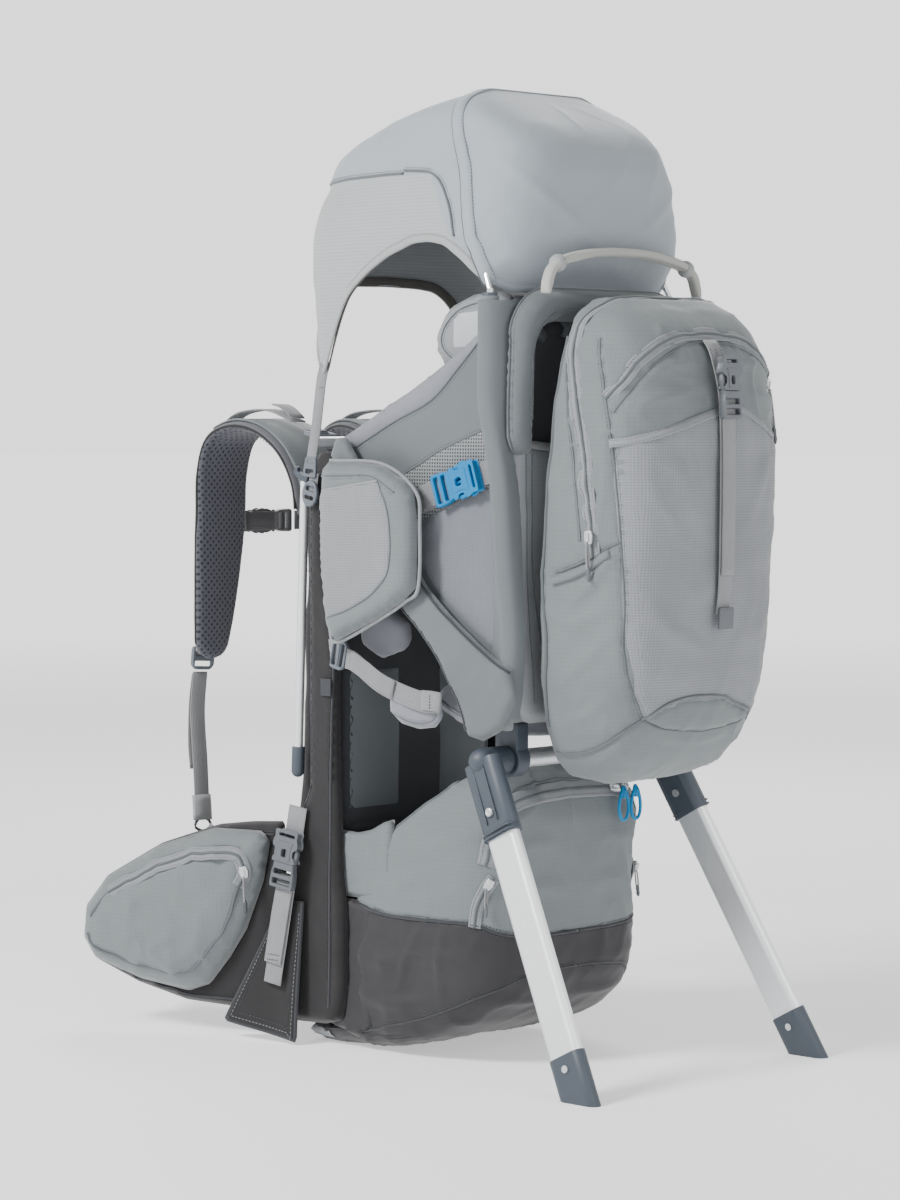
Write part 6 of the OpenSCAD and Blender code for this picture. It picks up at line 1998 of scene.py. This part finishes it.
pouches = {}
for tag, s in SIDES.items():
    body = f"hip_{tag}"
    wing = pillow(f"hip_wing_pad_{tag}", WING, "side", -8, 8, CHARCOAL, body, s, round_low=8, round_high=8, step=6,
                  wave=0.9, scale=40, bend=at_wing, hides=[f"hip_wing_{tag}"], slot="back_fabric")
    pouches[s] = pillow(f"hip_pouch_cloth_{tag}", POUCH, "side", 8.5, 36.5, RIPSTOP, body, s, round_low=2,
                        round_high=44, step=5, wave=2.6, scale=42, seed=5 + s, bend=fuller, hides=[f"hip_pouch_{tag}"],
                        slot="shell_fabric")
    if s == 1:
        wing_surface, pouch_surface = Surface(wing), Surface(pouches[1])
    for part, line, mat, r in (("trim", [(30, 160), (48, 114), (66, 87), (90, 60), (112, 53), (168, 59), (220, 74),
                                         (234, 92)], SEAM_DARK, 1.4),
                               ("top", [(40, 202), (84, 199), (150, 177), (204, 146), (228, 114)], SEAM_DARK, 0.9)):
        seam(f"hip_pouch_{part}_{tag}", pouch_surface, at_wing([(44, y, z) for y, z in line]), mat, body, s, r=r,
             both=(3.0,), thread=THREAD)
    zip_path = at_wing([(40, y, z) for y, z in ((34, 150), (31, 172), (38, 188), (62, 193), (100, 186), (150, 168),
                                                (196, 142))])
    p, u = zip_line(f"hip_pouch_zip_{tag}", pouch_surface, zip_path, body, s, width=14)
    slider(f"hip_zip_slider_{tag}", p[5] + u[5] * 0.6, (p[7] - p[5], u[5]), STEEL, body, s, long=12)
    cord_pull(f"hip_zip_pull_{tag}", p[4] + u[4] * 4.5, p[4] + u[4] * 5 + arr([1, -3, -26]), CORD_GREY, body, s,
              grip=BUCKLE_DARK)
    for side, ray, x in (("outer", (-1, 0.25, 0), 12), ("inner", (1, -0.25, 0), -12)):
        seam(f"hip_wing_seam_{side}_{tag}", wing_surface,
             at_wing([(x, y, z) for y, z in ((10, 206), (80, 205), (148, 182), (208, 149), (232, 118), (235, 88),
                                             (224, 71), (178, 52), (118, 38), (52, 35), (10, 66))]), SHADOW, body, s,
             r=1.0, both=(3.0,), thread=THREAD_DARK)
    mesh_line = [tuple(at_wing([(0, y, z)])[0][1:]) for y, z in (
        (16, 196), (78, 195), (142, 174), (202, 143), (224, 116), (226, 92), (216, 78), (172, 60), (114, 46), (54, 42),
        (16, 72))]
    panel(f"hip_wing_mesh_{tag}", wing_surface, mesh_line, "side", SPACER, body, s, ray=(1, 0, 0), lift=0.9, puff=2.2,
          edge=16, step=6)
    # Waist webbing
    belt = curve([(150, 290, 106), (160, 310, 104), (146, 340, 102), (116, 361.2, 98), (78, 363.2, 94)], 6)
    band(f"belt_web_{tag}", belt, 33, 1.8, WEB_DARK, body, side=(0, 0, 1), s=s)
    for k, d in enumerate((-10, 10)):
        stitches(f"belt_web_stitch_{tag}_{k}", [(157, 318, 103 + d), (149, 334, 102.5 + d)], (0.8, 0.6, 0), THREAD_DARK,
                 body, s)

clip = on_strap((78, 365.7, 94), (42, 365.7, 94), (0, -1, 0))
flipped = clip @ np.array([[-1, 0, 0, 28], [0, -1, 0, 0], [0, 0, 1, 0], [0, 0, 0, 1.0]])
socket_half("belt_socket_moulding", flipped, 40, BUCKLE_DARK, "hip_left", -1, hides=["belt_socket_strap"],
            slot="dark_plastic")
forward = clip @ np.array([[1, 0, 0, 26], [0, 1, 0, 0], [0, 0, 1, 0], [0, 0, 0, 1.0]])
plug_half("belt_plug_moulding", forward, 40, BUCKLE_DARK, "hip_right", hides=["belt_plug_strap"], slot="dark_plastic")

# ---------------------------------------------------------------- grab handle and stirrups

grip = [(110, -227, 738), (107, -227, 750), (101, -227, 761), (84, -227, 769.5), (44, -227, 777), (0, -227, 779)]
grip_path = curve(both_sides(grip), 7)
handle = strap_pad("grab_handle_pad", grip_path, [11, 12, 15, 17, 17, 17, 17, 17, 15, 12, 11], 8.6, [HANDLE], "handle",
                   side=(0, 1, 0), step=3, ends=False, p=2.8, wave=0.3, hides=["grab_handle"], slot="handle_fabric")
hp = even(grip_path, 3)
ha, hu = frames(hp, (0, 1, 0))
mid_part = slice(12, len(hp) - 12)
for k, e in enumerate((-5.6, 5.6)):
    row = hp[mid_part] + ha[mid_part] * e
    for m, q in enumerate((-1, 1)):
        stitches(f"grab_handle_stitch_{k}_{m}", row + hu[mid_part] * 3.6 * q, hu[mid_part] * q, THREAD, "handle",
                 pitch=3.6)
for k, sl in enumerate((slice(10, 14), slice(len(hp) - 14, len(hp) - 10))):
    tube(f"grab_handle_cuff_{k}", hp[sl], 8.2, BINDING, "handle", sides=16, step=2, radii=[7.2, 8.4, 8.4, 7.2])

for tag, s in SIDES.items():
    body = f"stirrup_{tag}_strap"
    path = curve([(131.8, 14, 388), (133, 0, 384), (138.4, -40, 366), (141.4, -92, 353), (142.6, -122, 352)], 8)
    band(f"stirrup_web_{tag}", path, 20, 1.8, WEB_PALE, body, side=(0, 0.3, 1), s=s, hides=[f"stirrup_{tag}"],
         slot="light_mesh")
    band(f"stirrup_tail_{tag}", [(135, 6, 387), (138, -20, 377), (141, -40, 368), (142.6, -60, 361)], 19, 1.6, WEB_PALE,
         body, side=(0, 0.3, 1), s=s)
    pad = pillow(f"stirrup_pad_{tag}", [(-48, 356), (-60, 361), (-80, 362), (-104, 359), (-117, 351), (-119, 338),
                                        (-110, 328), (-88, 325), (-64, 329), (-49, 340)], "side", 132.6, 138.8, LILAC,
                 body, s, round_low=4, round_high=7, step=4, wave=0.6, scale=25)
    if s == 1:
        stirrup_surf = Surface(pad)
    seam(f"stirrup_pad_seam_{tag}", stirrup_surf, [(150, y, z) for y, z in ((-54, 352), (-80, 357), (-106, 352),
                                                                            (-114, 342), (-106, 333), (-80, 331),
                                                                            (-56, 338))], SEAM_DARK, body, s, r=0.6,
         both=(2.2,), thread=THREAD, ray=IN)
    band(f"stirrup_end_{tag}", [(144.2, -100, 354), (145.4, -114, 354), (145.8, -126, 353)], 19, 3.0, WEB, body,
         side=(0, 0.1, 1), s=s)
    stitches(f"stirrup_end_stitch_{tag}", [(147.2, -113, 346), (147.2, -113, 362)], (1, 0, 0), THREAD_DARK, body, s,
             pitch=2.8, long=1.9)
